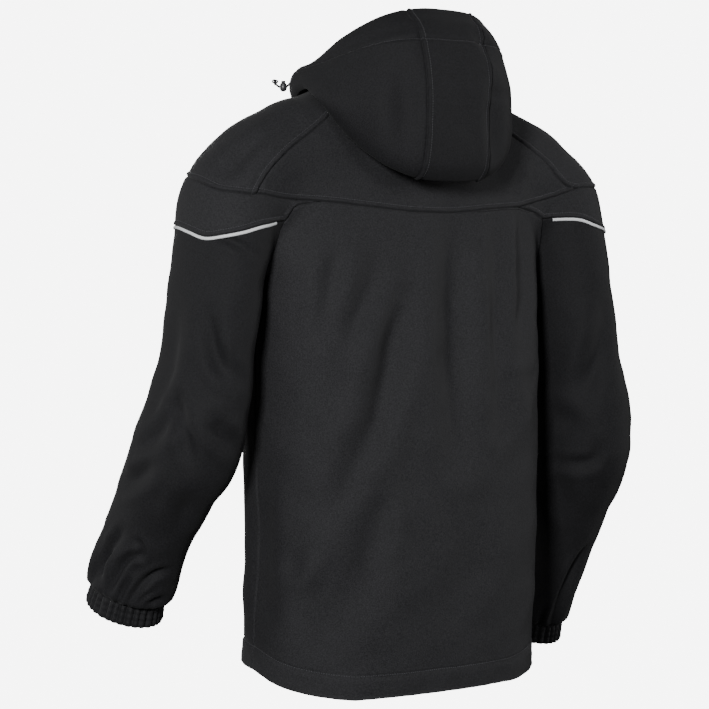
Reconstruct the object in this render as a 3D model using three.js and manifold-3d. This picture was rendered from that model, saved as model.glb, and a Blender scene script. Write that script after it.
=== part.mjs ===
// Hooded softshell jacket in its worn shape, seen as hollow cloth.
// Millimetres. X to the wearer's left, Y to the wearer's back, Z up.
// The origin is the middle of the neck opening, where the wearer's neck base holds the jacket.
import * as THREE from "three";
import { mergeVertices } from "three/addons/utils/BufferGeometryUtils.js";
import Module from "manifold-3d";

const wasm = await Module();
wasm.setup();

// Driving sizes
const WALL = 2.0; // bonded softshell cloth
const SEAM_GAP = 0.3;
const CUFF_WALL = 2.4;
const CUFF_HEIGHT = 24;
const CUFF_GATHERS = 32; // pleats round one cuff
const GATHER_DEPTH = 1.6;
const PIPING_HEIGHT = 4;
const PIPING_WALL = 1.2;
const ZIP_HALF_WIDTH = 5; // half the width between the front panels
const SHOULDER_BLEND = 30; // softness of the join between body and sleeve on the shoulder
const ARMPIT_BLEND = 9;
const HEM_BACK = -741; // dropped tail
const HEM_SIDE = -710;
const HEM_TILT = 5; // the hem hangs lower on the left side
const HEM_FRONT = -700;
const UNDERARM = -226; // sleeve and body part below this height
const HOOD_CENTRE_HALF = 48; // half width of the hood's centre panel
const HOOD_ROUND = 0.74; // below 1 the pouch is squarer than an ellipse
const HOOD_FRONT_ROUND = 0.9;
const HOOD_CLEAR = 4.2; // between the hood and the cloth that it rests over
const HOOD_SWEEP = 1.25; // how its rings rise or fall from the side to the back

// Body sections: half width, shift to the left, depth to the front and back, squareness
const BODY = [
  { z: 60, half: 44, shift: 0, front: 34, back: 40, square: 2.1 },
  { z: 20, half: 84, shift: 0, front: 50, back: 58, square: 2.1 },
  { z: 0, half: 122, shift: 0, front: 62, back: 68, square: 2.2 },
  { z: -34, half: 170, shift: 0, front: 74, back: 78, square: 2.3 },
  { z: -70, half: 200, shift: 0, front: 86, back: 87, square: 2.5 },
  { z: -110, half: 208, shift: 0, front: 100, back: 94, square: 2.7 },
  { z: -150, half: 208, shift: 0, front: 112, back: 99, square: 2.8 },
  { z: -200, half: 205, shift: 0, front: 118, back: 108, square: 2.8 },
  { z: -250, half: 202, shift: -1, front: 120, back: 114, square: 2.8 },
  { z: -330, half: 201, shift: -3, front: 119, back: 121, square: 2.7 },
  { z: -450, half: 198, shift: -4, front: 116, back: 128, square: 2.6 },
  { z: -560, half: 197, shift: -4, front: 115, back: 130, square: 2.5 },
  { z: -700, half: 194, shift: 0, front: 114, back: 125, square: 2.5 },
  { z: -760, half: 193, shift: 1, front: 113, back: 122, square: 2.5 },
];

// Sleeve sections from inside the shoulder to the top of the cuff: middle, half width, half depth
const ARM_LEFT = [
  { x: 150, y: 6, z: -66, wide: 56, deep: 64 },
  { x: 205, y: 9, z: -94, wide: 55, deep: 68 },
  { x: 236, y: 12, z: -139, wide: 61, deep: 72 },
  { x: 248, y: 14, z: -190, wide: 55, deep: 75 },
  { x: 258, y: 14, z: -245, wide: 52, deep: 75 },
  { x: 266, y: 10, z: -325, wide: 52, deep: 75 },
  { x: 273, y: 0, z: -390, wide: 57, deep: 80 },
  { x: 282, y: -15, z: -438, wide: 61, deep: 78 },
  { x: 291, y: -40, z: -480, wide: 56, deep: 68 },
  { x: 297, y: -70, z: -522, wide: 52, deep: 63 },
  { x: 302, y: -95, z: -566, wide: 51, deep: 61 },
  { x: 307, y: -112, z: -599, wide: 55, deep: 63 },
  { x: 308.4, y: -119, z: -614, wide: 54, deep: 62 },
  { x: 309, y: -122, z: -622, wide: 45, deep: 52 },
];
const ARM_RIGHT = [
  { x: 150, y: 6, z: -58, wide: 56, deep: 64 },
  { x: 208, y: 10, z: -86, wide: 54, deep: 68 },
  { x: 244, y: 14, z: -130, wide: 60, deep: 72 },
  { x: 256, y: 18, z: -185, wide: 56, deep: 75 },
  { x: 263, y: 22, z: -240, wide: 54, deep: 75 },
  { x: 273, y: 25, z: -324, wide: 53, deep: 75 },
  { x: 286, y: 25, z: -407, wide: 58, deep: 80 },
  { x: 289, y: 22, z: -441, wide: 59, deep: 80 },
  { x: 292, y: 10, z: -476, wide: 56, deep: 72 },
  { x: 295, y: -12, z: -515, wide: 52, deep: 65 },
  { x: 297, y: -50, z: -580, wide: 50, deep: 60 },
  { x: 293, y: -75, z: -632, wide: 50, deep: 58 },
  { x: 290, y: -88, z: -662, wide: 53, deep: 60 },
  { x: 289, y: -92.5, z: -676, wide: 52, deep: 59 },
  { x: 288.6, y: -95, z: -684, wide: 44, deep: 51 },
];

// Heights of the cap seam and of the piping seam round the arm; turn 0 is outwards, 90 is the back
const ARM_SEAMS_LEFT = [
  { turn: 100, cap: -131, piping: -168 },
  { turn: 81, cap: -131, piping: -175 },
  { turn: 61, cap: -128, piping: -180 },
  { turn: 43, cap: -124, piping: -182 },
  { turn: 16, cap: -113, piping: -174 },
  { turn: -10, cap: -107, piping: -168 },
  { turn: -32, cap: -104, piping: -166 },
  { turn: -60, cap: -107, piping: -167 },
  { turn: -95, cap: -116, piping: -168 },
];
const ARM_SEAMS_RIGHT = ARM_SEAMS_LEFT.map((row) => ({
  turn: row.turn,
  cap: row.cap + 6 + 16 * Math.max(0, Math.sin((row.turn * Math.PI) / 180)),
  piping: row.piping + 19,
}));

// Corners where seams meet, on the wearer's left; the right side swaps some of them
const CORNERS_LEFT = {
  raglanBack: [237, 73, -131],
  bandTip: [148, 85, -137],
  raglanFront: [226, -58, -112],
  armholeBack: -154,
  armholeFront: -160,
};
const CORNERS_RIGHT = {
  raglanBack: [236, 74, -112],
  bandTip: [148, 85, -137],
  raglanFront: [228, -56, -102],
  armholeBack: -142,
  armholeFront: -148,
};

// Collar seam from the middle of the back to the zip, on the left
const NECK = [
  { x: 0, y: 64, z: 8 },
  { x: 40, y: 60, z: 10 },
  { x: 62, y: 50, z: 13 },
  { x: 82, y: 20, z: 19 },
  { x: 86, y: -6, z: 18 },
  { x: 78, y: -38, z: 2 },
  { x: 48, y: -66, z: -34 },
  { x: ZIP_HALF_WIDTH, y: -78, z: -58 },
];

// Hood rings from the collar seam over the pouch to the face opening: where each ring crosses the
// middle of the back, the side and the front, and the cloth's thickness there
const HOOD = [
  { backY: 67, backZ: 22, sideX: 88, sideY: -6, sideZ: 26, frontY: -82, frontZ: -50, wall: 2 },
  { backY: 78, backZ: 29, sideX: 95, sideY: -4, sideZ: 29, frontY: -84, frontZ: -46, wall: 2 },
  { backY: 90, backZ: 15, sideX: 103, sideY: 0, sideZ: 24, frontY: -87, frontZ: -43, wall: 2 },
  { backY: 100, backZ: -22, sideX: 110, sideY: 4, sideZ: 15, frontY: -90, frontZ: -40, wall: 2 },
  { backY: 110, backZ: -62, sideX: 117, sideY: 6, sideZ: 9, frontY: -92, frontZ: -36, wall: 2 },
  { backY: 122, backZ: -97, sideX: 123, sideY: 7, sideZ: 7, frontY: -94, frontZ: -33, wall: 2 },
  { backY: 143, backZ: -112, sideX: 128, sideY: 6, sideZ: 10, frontY: -96, frontZ: -29, wall: 2 },
  { backY: 162, backZ: -95, sideX: 130, sideY: 4, sideZ: 16, frontY: -98, frontZ: -25, wall: 2 },
  { backY: 170, backZ: -52, sideX: 130, sideY: 0, sideZ: 22, frontY: -100, frontZ: -21, wall: 2 },
  { backY: 171, backZ: -6, sideX: 128, sideY: -4, sideZ: 28, frontY: -102, frontZ: -17, wall: 2 },
  { backY: 164, backZ: 40, sideX: 123, sideY: -7, sideZ: 33, frontY: -104, frontZ: -13, wall: 2.6 },
  { backY: 149, backZ: 76, sideX: 117, sideY: -9, sideZ: 37, frontY: -105, frontZ: -9, wall: 2.6 },
  { backY: 124, backZ: 101, sideX: 109, sideY: -10, sideZ: 40, frontY: -106, frontZ: -5, wall: 2.6 },
];

// Main folds: ends on the cloth, half width and depth; a negative depth is a ridge
const FOLDS = [
  { on: "body", x1: 62, y1: 108, z1: -212, x2: 98, y2: 108, z2: -280, wide: 17, deep: 5 },
  { on: "body", x1: 38, y1: 116, z1: -290, x2: 88, y2: 118, z2: -385, wide: 19, deep: 6 },
  { on: "body", x1: -14, y1: 106, z1: -175, x2: -12, y2: 128, z2: -440, wide: 20, deep: 5 },
  { on: "body", x1: 24, y1: 112, z1: -210, x2: 20, y2: 127, z2: -440, wide: 17, deep: -4 },
  { on: "body", x1: -52, y1: 106, z1: -165, x2: -48, y2: 124, z2: -380, wide: 17, deep: -5 },
  { on: "body", x1: 66, y1: 124, z1: -530, x2: 92, y2: 116, z2: -620, wide: 26, deep: 6 },
  { on: "body", x1: -90, y1: 112, z1: -460, x2: -110, y2: 104, z2: -600, wide: 24, deep: 5 },
  { on: "body", x1: 70, y1: -108, z1: -250, x2: 110, y2: -100, z2: -390, wide: 22, deep: 5 },
  { on: "body", x1: -80, y1: -106, z1: -280, x2: -60, y2: -112, z2: -450, wide: 22, deep: 5 },
  { on: "left", x1: 322, y1: 20, z1: -404, x2: 268, y2: 60, z2: -432, wide: 13, deep: 6 },
  { on: "left", x1: 330, y1: -40, z1: -436, x2: 300, y2: 40, z2: -470, wide: 13, deep: 6 },
  { on: "left", x1: 342, y1: -60, z1: -548, x2: 318, y2: -50, z2: -600, wide: 12, deep: 6 },
  { on: "left", x1: 300, y1: -30, z1: -556, x2: 332, y2: -62, z2: -604, wide: 12, deep: 6 },
  { on: "left", x1: 268, y1: -66, z1: -560, x2: 300, y2: -60, z2: -612, wide: 12, deep: 5 },
  { on: "left", x1: 286, y1: -88, z1: -380, x2: 250, y2: -84, z2: -430, wide: 14, deep: 7 },
  { on: "right", x1: 348, y1: 40, z1: -400, x2: 300, y2: 92, z2: -432, wide: 13, deep: 6 },
  { on: "right", x1: 350, y1: 0, z1: -440, x2: 318, y2: 80, z2: -478, wide: 13, deep: 6 },
  { on: "right", x1: 352, y1: -30, z1: -580, x2: 322, y2: -40, z2: -670, wide: 13, deep: 6 },
  { on: "right", x1: 300, y1: -50, z1: -390, x2: 262, y2: -52, z2: -440, wide: 14, deep: 7 },
];

// Cord ends of the hood on the left; the right end mirrors them
const CORD_RADIUS = 1.5;
const CORD_KNOT = 2.7;
const EYELET_RADIUS = 4.4;
const EYELET_HOLE = 2.3;
const EYELET_THICK = 1.1;
const LOCK_RADIUS = 4.8;
const LOCK_HEIGHT = 12;
const LOCK_BORE = 2.3;
const LOCK_AWAY = 20; // from the hood to the middle of the lock
const LOCK_BELOW = 7;
const LOCK_BUTTON = 2.7;
const EYELET_TURN = 0.6; // share of the hood's side edge from the centre seam to the zip

// Zip slider and tab
const SLIDER_HALF = 4.5;
const SLIDER_LENGTH = 12;
const SLIDER_TOP = 2.8; // above the zip
const BRIDGE_HALF = 1.1;
const BRIDGE_TOP = 6.2;
const TAB_HALF = 3;
const TAB_LENGTH = 26;
const TAB_THICK = 1.5;
const PIN_HEIGHT = 3.85;

const COLOURS = {
  cloth: 0x2b2b2d,
  cuff: 0x242426,
  piping: 0xc9cacb,
  zip: 0x1c1c1e,
  metal: 0x4a4b4e,
  cord: 0x202022,
};

const vec = (x, y, z) => new THREE.Vector3(x, y, z);
const group = new THREE.Group();

// A smooth reader of one column of a table along another column.
function reader(table, by, column) {
  const rows = [...table].sort((p, q) => p[by] - q[by]);
  const at = rows.map((row) => row[by]);
  const value = rows.map((row) => row[column]);
  const last = rows.length - 1;
  const rise = at.slice(1).map((a, i) => (value[i + 1] - value[i]) / (a - at[i]));
  const slope = value.map((_, i) => {
    if (i === 0) return rise[0];
    if (i === last) return rise[last - 1];
    if (rise[i - 1] * rise[i] <= 0) return 0;
    return (2 * rise[i - 1] * rise[i]) / (rise[i - 1] + rise[i]);
  });
  return (a) => {
    if (a <= at[0]) return value[0];
    if (a >= at[last]) return value[last];
    let i = 0;
    while (a > at[i + 1]) i += 1;
    const h = at[i + 1] - at[i];
    const t = (a - at[i]) / h;
    const s = 1 - t;
    const start = value[i] * s * s * (1 + 2 * t) + slope[i] * h * t * s * s;
    return start + value[i + 1] * t * t * (1 + 2 * s) - slope[i + 1] * h * t * t * s;
  };
}

const body = {
  half: reader(BODY, "z", "half"),
  shift: reader(BODY, "z", "shift"),
  front: reader(BODY, "z", "front"),
  back: reader(BODY, "z", "back"),
  square: reader(BODY, "z", "square"),
};

// How far a place lies outside the body's cloth; inside is negative.
function bodyField(p) {
  const half = body.half(p.z);
  const depth = p.y > 0 ? body.back(p.z) : body.front(p.z);
  const n = body.square(p.z);
  const x = p.x - body.shift(p.z);
  const sum = (Math.abs(x) / half) ** n + (Math.abs(p.y) / depth) ** n;
  return (sum ** (1 / n) - 1) * Math.min(half, 0.5 * (half + depth));
}

// A sleeve's middle line with its sections.
class Arm {
  constructor(rows, sign) {
    let along = 0;
    this.sign = sign;
    this.rows = rows.map((row, i) => {
      if (i > 0) {
        const prior = rows[i - 1];
        along += Math.hypot(row.x - prior.x, row.y - prior.y, row.z - prior.z);
      }
      return { ...row, along };
    });
    this.length = along;
    const read = (column) => reader(this.rows, "along", column);
    [this.x, this.y, this.z] = [read("x"), read("y"), read("z")];
    [this.wide, this.deep] = [read("wide"), read("deep")];
    this.middles = [];
    const count = 96;
    for (let i = 0; i <= count; i += 1) this.middles.push(this.middle((along * i) / count));
    this.step = along / count;
  }

  middle(s) {
    return vec(this.sign * this.x(s), this.y(s), this.z(s));
  }

  frame(s) {
    const tangent = this.middle(s + 4).sub(this.middle(s - 4)).normalize();
    const side = vec(this.sign, 0, 0);
    side.addScaledVector(tangent, -side.dot(tangent)).normalize();
    const rear = vec(0, 1, 0);
    rear.addScaledVector(tangent, -rear.dot(tangent));
    rear.addScaledVector(side, -rear.dot(side)).normalize();
    return { tangent, side, rear };
  }

  nearest(p) {
    let best = 0;
    let least = Infinity;
    this.middles.forEach((m, i) => {
      const d = m.distanceToSquared(p);
      if (d < least) [least, best] = [d, i];
    });
    const from = this.middles[Math.max(0, best - 1)];
    const to = this.middles[Math.min(this.middles.length - 1, best + 1)];
    const line = to.clone().sub(from);
    const first = Math.max(0, best - 1) * this.step;
    const share = p.clone().sub(from).dot(line) / line.lengthSq();
    return Math.min(this.length, Math.max(0, first + share * line.length()));
  }

  // How far a place lies outside the sleeve's cloth; inside is negative.
  field(p) {
    const s = this.nearest(p);
    const { tangent, side, rear } = this.frame(s);
    const d = p.clone().sub(this.middle(s));
    const [wide, deep] = [this.wide(s), this.deep(s)];
    const size = Math.hypot(d.dot(side) / wide, d.dot(rear) / deep, d.dot(tangent) / wide);
    return (size - 1) * Math.min(wide, deep);
  }
}

const arms = { left: new Arm(ARM_LEFT, 1), right: new Arm(ARM_RIGHT, -1) };

// Folds as troughs round a straight stroke, faded out at its ends.
const strokes = FOLDS.map((row) => {
  const sign = row.on === "right" ? -1 : 1;
  const from = vec(sign * row.x1, row.y1, row.z1);
  const to = vec(sign * row.x2, row.y2, row.z2);
  return { ...row, from, line: to.clone().sub(from) };
});

function foldDepth(p, on) {
  let sum = 0;
  strokes.forEach((row) => {
    if (row.on !== on) return;
    const d = p.clone().sub(row.from);
    const share = Math.min(1, Math.max(0, d.dot(row.line) / row.line.lengthSq()));
    const off = d.addScaledVector(row.line, -share).length() / row.wide;
    sum += row.deep * Math.exp(-off * off);
  });
  return sum;
}

function blend(a, b, k) {
  const h = Math.max(k - Math.abs(a - b), 0) / k;
  return Math.min(a, b) - 0.25 * h * h * k;
}

const softness = reader(
  [
    { z: -40, k: SHOULDER_BLEND },
    { z: -90, k: 54 },
    { z: -140, k: 50 },
    { z: -172, k: 20 },
    { z: -200, k: ARMPIT_BLEND },
  ],
  "z",
  "k",
);

// The outer face of the body's cloth, joined to both sleeves above the underarms.
function bodyCloth(p) {
  const apart = Math.max(0, UNDERARM - p.z);
  const arm = (p.x > 0 ? arms.left : arms.right).field(p) + apart;
  return blend(bodyField(p), arm, softness(p.z)) + foldDepth(p, "body");
}

// The outer face of one sleeve's cloth, joined to the body above the underarm.
function sleeveCloth(side) {
  return (p) => {
    const apart = Math.max(0, UNDERARM - p.z);
    const joined = blend(arms[side].field(p), bodyField(p) + apart, softness(p.z));
    return joined + foldDepth(p, side);
  };
}

function slopeOf(field, p) {
  const e = 0.5;
  const at = (x, y, z) => field(vec(p.x + x, p.y + y, p.z + z));
  return vec(at(e, 0, 0) - at(-e, 0, 0), at(0, e, 0) - at(0, -e, 0), at(0, 0, e) - at(0, 0, -e));
}

// Moves a place to the cloth's outer face by the shortest way.
function settle(p, field) {
  const q = p.clone();
  for (let i = 0; i < 9; i += 1) {
    const f = field(q);
    if (Math.abs(f) < 0.004) break;
    const g = slopeOf(field, q);
    const step = THREE.MathUtils.clamp(f / g.lengthSq(), -24, 24);
    q.addScaledVector(g, -step);
  }
  return q;
}

const facing = (field, p) => slopeOf(field, p).normalize();

// Splits a line of places into equal lengths, each settled on the cloth.
function evenly(places, count, field) {
  const lengths = [0];
  for (let i = 1; i < places.length; i += 1) {
    lengths.push(lengths[i - 1] + places[i].distanceTo(places[i - 1]));
  }
  const total = lengths[lengths.length - 1];
  const out = [];
  for (let j = 0; j <= count; j += 1) {
    const want = (total * j) / count;
    let i = 0;
    while (i < places.length - 2 && lengths[i + 1] < want) i += 1;
    const share = (want - lengths[i]) / (lengths[i + 1] - lengths[i]);
    const p = places[i].clone().lerp(places[i + 1], share);
    out.push(field ? settle(p, field) : p);
  }
  return out;
}

// A seam through a few places, split evenly on the cloth.
function seam(corners, count, field) {
  const line = new THREE.CatmullRomCurve3(corners, false, "centripetal");
  const fine = line.getSpacedPoints(60).map((p) => settle(p, field));
  return evenly(fine, count, field);
}

// Where a ray from a sleeve's middle line, level at one height, leaves the cloth.
function aroundArm(arm, turn, z, field) {
  let s = arm.length / 2;
  let [low, high] = [0, arm.length];
  for (let i = 0; i < 40; i += 1) {
    s = (low + high) / 2;
    if (arm.z(s) > z) low = s;
    else high = s;
  }
  const angle = (turn * Math.PI) / 180;
  const out = vec(arm.sign * Math.cos(angle), Math.sin(angle), 0);
  const middle = arm.middle(s);
  let [near, far] = [0, 130];
  for (let i = 0; i < 40; i += 1) {
    const r = (near + far) / 2;
    if (field(middle.clone().addScaledVector(out, r)) < 0) near = r;
    else far = r;
  }
  return middle.addScaledVector(out, near);
}

// The crease between sleeve and body for one depth y: both faces meet there.
function creaseAt(arm, y, guess) {
  const q = vec(guess.x, y, guess.z);
  for (let i = 0; i < 14; i += 1) {
    const [a, b] = [bodyField(q), arm.field(q)];
    const e = 0.2;
    const dx = vec(q.x + e, y, q.z);
    const dz = vec(q.x, y, q.z + e);
    const [ax, az] = [(bodyField(dx) - a) / e, (bodyField(dz) - a) / e];
    const [bx, bz] = [(arm.field(dx) - b) / e, (arm.field(dz) - b) / e];
    const det = ax * bz - az * bx;
    if (Math.abs(det) < 1e-6) break;
    q.x -= THREE.MathUtils.clamp((a * bz - b * az) / det, -12, 12);
    q.z -= THREE.MathUtils.clamp((ax * b - bx * a) / det, -20, 20);
  }
  return q;
}

// The armhole below the band's ends, back and front, down to the underarm.
function armhole(arm, corners) {
  const line = [];
  const middle = 10;
  const sweep = (from, to, step) => {
    let guess = vec(arm.sign * 203, from, UNDERARM);
    for (let y = from; step > 0 ? y <= to : y >= to; y += step) {
      guess = creaseAt(arm, y, guess);
      line.push(guess.clone());
    }
  };
  sweep(middle, 84, 2);
  const rear = line.splice(0);
  sweep(middle - 2, -72, -2);
  const all = [...line.reverse(), ...rear];
  const lowest = all.reduce((best, p, i) => (p.z < all[best].z ? i : best), 0);
  const cut = (part, z) => {
    const end = part.findIndex((p) => p.z > z);
    const [a, b] = [part[end - 1], part[end]];
    const share = (z - a.z) / (b.z - a.z);
    return [...part.slice(0, end), a.clone().lerp(b, share)];
  };
  return {
    back: cut(all.slice(lowest), corners.armholeBack).reverse(),
    front: cut(all.slice(0, lowest + 1).reverse(), corners.armholeFront).reverse(),
  };
}

// A patch between four seams, settled on the cloth inside them.
function patch(top, bottom, left, right, field, smooth = 8) {
  const rows = left.length - 1;
  const cols = top.length - 1;
  const grid = [];
  const mix = (a, b, t) => a.clone().lerp(b, t);
  for (let r = 0; r <= rows; r += 1) {
    const v = r / rows;
    grid.push([]);
    for (let c = 0; c <= cols; c += 1) {
      const u = c / cols;
      const edges = mix(top[c], bottom[c], v).add(mix(left[r], right[r], u));
      const sides = mix(mix(top[0], top[cols], u), mix(bottom[0], bottom[cols], u), v);
      const inside = r > 0 && r < rows && c > 0 && c < cols;
      let p = edges.sub(sides);
      if (inside) p = settle(p, field);
      else if (r === 0) p = top[c].clone();
      else if (r === rows) p = bottom[c].clone();
      else p = (c === 0 ? left[r] : right[r]).clone();
      grid[r].push(p);
    }
  }
  for (let k = 0; k < smooth; k += 1) {
    for (let r = 1; r < rows; r += 1) {
      for (let c = 1; c < cols; c += 1) {
        const p = grid[r - 1][c].clone().add(grid[r + 1][c]).add(grid[r][c - 1]);
        p.add(grid[r][c + 1]).multiplyScalar(0.25);
        grid[r][c] = settle(grid[r][c].clone().lerp(p, 0.5), field);
      }
    }
  }
  return grid;
}

// Mean facing of a grid's own faces at each point.
function gridFacings(grid, wrap) {
  const rows = grid.length - 1;
  const cols = grid[0].length;
  return grid.map((row, r) =>
    row.map((p, c) => {
      const before = wrap ? (c + cols - 1) % cols : Math.max(0, c - 1);
      const after = wrap ? (c + 1) % cols : Math.min(cols - 1, c + 1);
      const across = row[after].clone().sub(row[before]);
      const down = grid[Math.min(rows, r + 1)][c].clone().sub(grid[Math.max(0, r - 1)][c]);
      return across.cross(down).normalize();
    }),
  );
}

// A closed wall on a grid of points: outer face, inner face and rims.
function addWall(name, grid, facings, finish, options = {}) {
  const { wrap = false, proud = 0, inset = [1, 1, 1, 1] } = options;
  const thick = options.thick ?? (() => WALL);
  const rows = grid.length;
  const cols = grid[0].length;
  const half = SEAM_GAP / 2;
  // A shift off the edge, square to it
  const shift = (from, to, before, after, share) => {
    const line = after.clone().sub(before).normalize();
    const step = to.clone().sub(from);
    step.addScaledVector(line, -step.dot(line));
    return step.setLength(half * share);
  };
  const base = grid.map((row, r) =>
    row.map((p, c) => {
      const q = p.clone();
      const before = wrap ? row[(c + cols - 1) % cols] : row[Math.max(0, c - 1)];
      const after = wrap ? row[(c + 1) % cols] : row[Math.min(cols - 1, c + 1)];
      const above = grid[Math.max(0, r - 1)][c];
      const below = grid[Math.min(rows - 1, r + 1)][c];
      if (r === 0) q.add(shift(p, grid[1][c], before, after, inset[0]));
      if (r === rows - 1) q.add(shift(p, grid[rows - 2][c], before, after, inset[1]));
      if (!wrap && c === 0) q.add(shift(p, row[1], above, below, inset[2]));
      if (!wrap && c === cols - 1) q.add(shift(p, row[cols - 2], above, below, inset[3]));
      return q;
    }),
  );
  const places = [];
  const faces = [];
  const id = (layer, r, c) => layer * rows * cols + r * cols + ((c + cols) % cols);
  [0, 1].forEach((layer) => {
    base.forEach((row, r) => {
      row.forEach((p, c) => {
        const out = layer === 0 ? proud : proud - thick(r, c);
        const q = p.clone().addScaledVector(facings[r][c], out);
        places.push(q.x, q.y, q.z);
      });
    });
  });
  const quad = (a, b, c, d) => faces.push(a, b, c, a, c, d);
  // Rims on both sides of a seam split along the same diagonal
  const rank = (i) => places[3 * i] + 0.371 * places[3 * i + 1] + 0.513 * places[3 * i + 2];
  const rim = (a, b, c, d) => {
    if (rank(a) > rank(b)) faces.push(a, b, c, a, c, d);
    else faces.push(a, b, d, b, c, d);
  };
  const lastCol = wrap ? cols : cols - 1;
  for (let r = 0; r < rows - 1; r += 1) {
    for (let c = 0; c < lastCol; c += 1) {
      quad(id(0, r, c), id(0, r + 1, c), id(0, r + 1, c + 1), id(0, r, c + 1));
      quad(id(1, r, c + 1), id(1, r + 1, c + 1), id(1, r + 1, c), id(1, r, c));
    }
  }
  for (let c = 0; c < lastCol; c += 1) {
    const end = rows - 1;
    rim(id(0, 0, c), id(0, 0, c + 1), id(1, 0, c + 1), id(1, 0, c));
    rim(id(0, end, c + 1), id(0, end, c), id(1, end, c), id(1, end, c + 1));
  }
  if (!wrap) {
    for (let r = 0; r < rows - 1; r += 1) {
      const end = cols - 1;
      rim(id(0, r + 1, 0), id(0, r, 0), id(1, r, 0), id(1, r + 1, 0));
      rim(id(0, r, end), id(0, r + 1, end), id(1, r + 1, end), id(1, r, end));
    }
  }
  addMesh(name, places, faces, finish);
}

// Adds a closed mesh, turned to face outwards.
function addMesh(name, places, faces, finish) {
  let volume = 0;
  const at = (i) => vec(places[3 * i], places[3 * i + 1], places[3 * i + 2]);
  for (let i = 0; i < faces.length; i += 3) {
    volume += at(faces[i]).dot(at(faces[i + 1]).cross(at(faces[i + 2])));
  }
  if (volume < 0) faces.reverse();
  const geometry = new THREE.BufferGeometry();
  geometry.setAttribute("position", new THREE.Float32BufferAttribute(places, 3));
  geometry.setIndex(faces);
  geometry.computeVertexNormals();
  addGeometry(name, geometry, finish);
}

function addGeometry(name, geometry, finish) {
  const looks = { color: COLOURS[finish], roughness: 0.85, metalness: 0 };
  if (finish === "metal") Object.assign(looks, { roughness: 0.4, metalness: 0.7 });
  if (finish === "piping") looks.roughness = 0.5;
  const mesh = new THREE.Mesh(geometry, new THREE.MeshStandardMaterial(looks));
  mesh.name = name;
  group.add(mesh);
}

// How many parts each seam is split into
const TIP_COLS = 3; // band tip to raglan seam
const YOKE_COLS = 12; // between the band tips
const CAP_COLS = 12; // round the arm
const FRONT_COLS = 6;
const RAGLAN_ROWS = 6;
const BAND_ROWS = 3;
const ARMHOLE_ROWS = 4;
const BODY_ROWS = 14;
const SLEEVE_ROWS = 22;

const hemHeight = (p) => {
  const side = HEM_SIDE - (HEM_TILT * p.x) / 190;
  if (p.y > 0) return side + (HEM_BACK - HEM_SIDE) * Math.min(1, p.y / 110);
  return side + (HEM_FRONT - HEM_SIDE) * Math.min(1, -p.y / 90);
};

function mirrored(rows, sign) {
  return rows.map((row) => vec(sign * row.x, row.y, row.z));
}

// All seams of one side.
function seamsOf(side) {
  const arm = arms[side];
  const corners = side === "left" ? CORNERS_LEFT : CORNERS_RIGHT;
  const table = side === "left" ? ARM_SEAMS_LEFT : ARM_SEAMS_RIGHT;
  const sleeve = sleeveCloth(side);
  const place = ([x, y, z]) => settle(vec(arm.sign * x, y, z), bodyCloth);
  const neck = seam(mirrored(NECK, arm.sign), 60, bodyCloth);
  const share = [0.29, 0.57]; // where the raglan seams start on the collar seam
  const stops = share.map((t) => Math.round(t * 60));
  const neckBack = evenly(neck.slice(0, stops[0] + 1), TIP_COLS + YOKE_COLS / 2, bodyCloth);
  const neckSide = evenly(neck.slice(stops[0], stops[1] + 1), CAP_COLS, bodyCloth);
  const neckFront = evenly(neck.slice(stops[1]), FRONT_COLS, bodyCloth);
  const raglanBackEnd = place(corners.raglanBack);
  const raglanFrontEnd = place(corners.raglanFront);
  const tip = place(corners.bandTip);
  const hole = armhole(arm, corners);
  const armholeBack = evenly(hole.back, ARMHOLE_ROWS, sleeve);
  const armholeFront = evenly(hole.front, ARMHOLE_ROWS, sleeve);
  const round = (column) =>
    table.map((row) => aroundArm(arm, row.turn, row[column], sleeve));
  const cap = seam([raglanBackEnd, ...round("cap").slice(1, -1), raglanFrontEnd], CAP_COLS, sleeve);
  const pipe = [armholeBack[0], ...round("piping"), armholeFront[0]];
  const backSpot = (x, y, z) => place([x, y, z]);
  const rise = corners.raglanBack;
  const raglanBack = seam(
    [neckSide[0], backSpot(132, 66, -36), backSpot(190, 74, -78), backSpot(220, 74, -106), raglanBackEnd],
    RAGLAN_ROWS,
    bodyCloth,
  );
  const raglanFront = seam(
    [neckFront[0], backSpot(136, -50, -40), backSpot(196, -56, -80), raglanFrontEnd],
    RAGLAN_ROWS,
    bodyCloth,
  );
  const tipToRaglan = seam([tip, backSpot(196, 80, (rise[2] - 139) / 2), raglanBackEnd], TIP_COLS, bodyCloth);
  const tipToArmhole = seam([tip, backSpot(180, 80, -146), armholeBack[0]], TIP_COLS, bodyCloth);
  const bandFront = seam([raglanFrontEnd, armholeFront[0]], BAND_ROWS, bodyCloth);
  const hemSide = vec(arm.sign * 189, -6, HEM_SIDE);
  const under = armholeBack[ARMHOLE_ROWS];
  const sideLine = [under];
  for (let i = 1; i <= 6; i += 1) {
    const p = under.clone().lerp(hemSide, i / 6);
    sideLine.push(i < 6 ? settle(p, bodyCloth) : p);
  }
  const sideSeam = seam(sideLine, BODY_ROWS, bodyCloth);
  return {
    arm,
    sleeve,
    neckBack,
    neckSide,
    neckFront,
    armholeBack,
    armholeFront,
    cap,
    piping: seam(pipe, CAP_COLS, sleeve),
    raglanBack,
    raglanFront,
    tipToRaglan,
    tipToArmhole,
    bandFront,
    sideSeam,
  };
}

const sides = { left: seamsOf("left"), right: seamsOf("right") };

function facingsOn(grid, field) {
  return grid.map((row) => row.map((p) => facing(field, p)));
}

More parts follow.
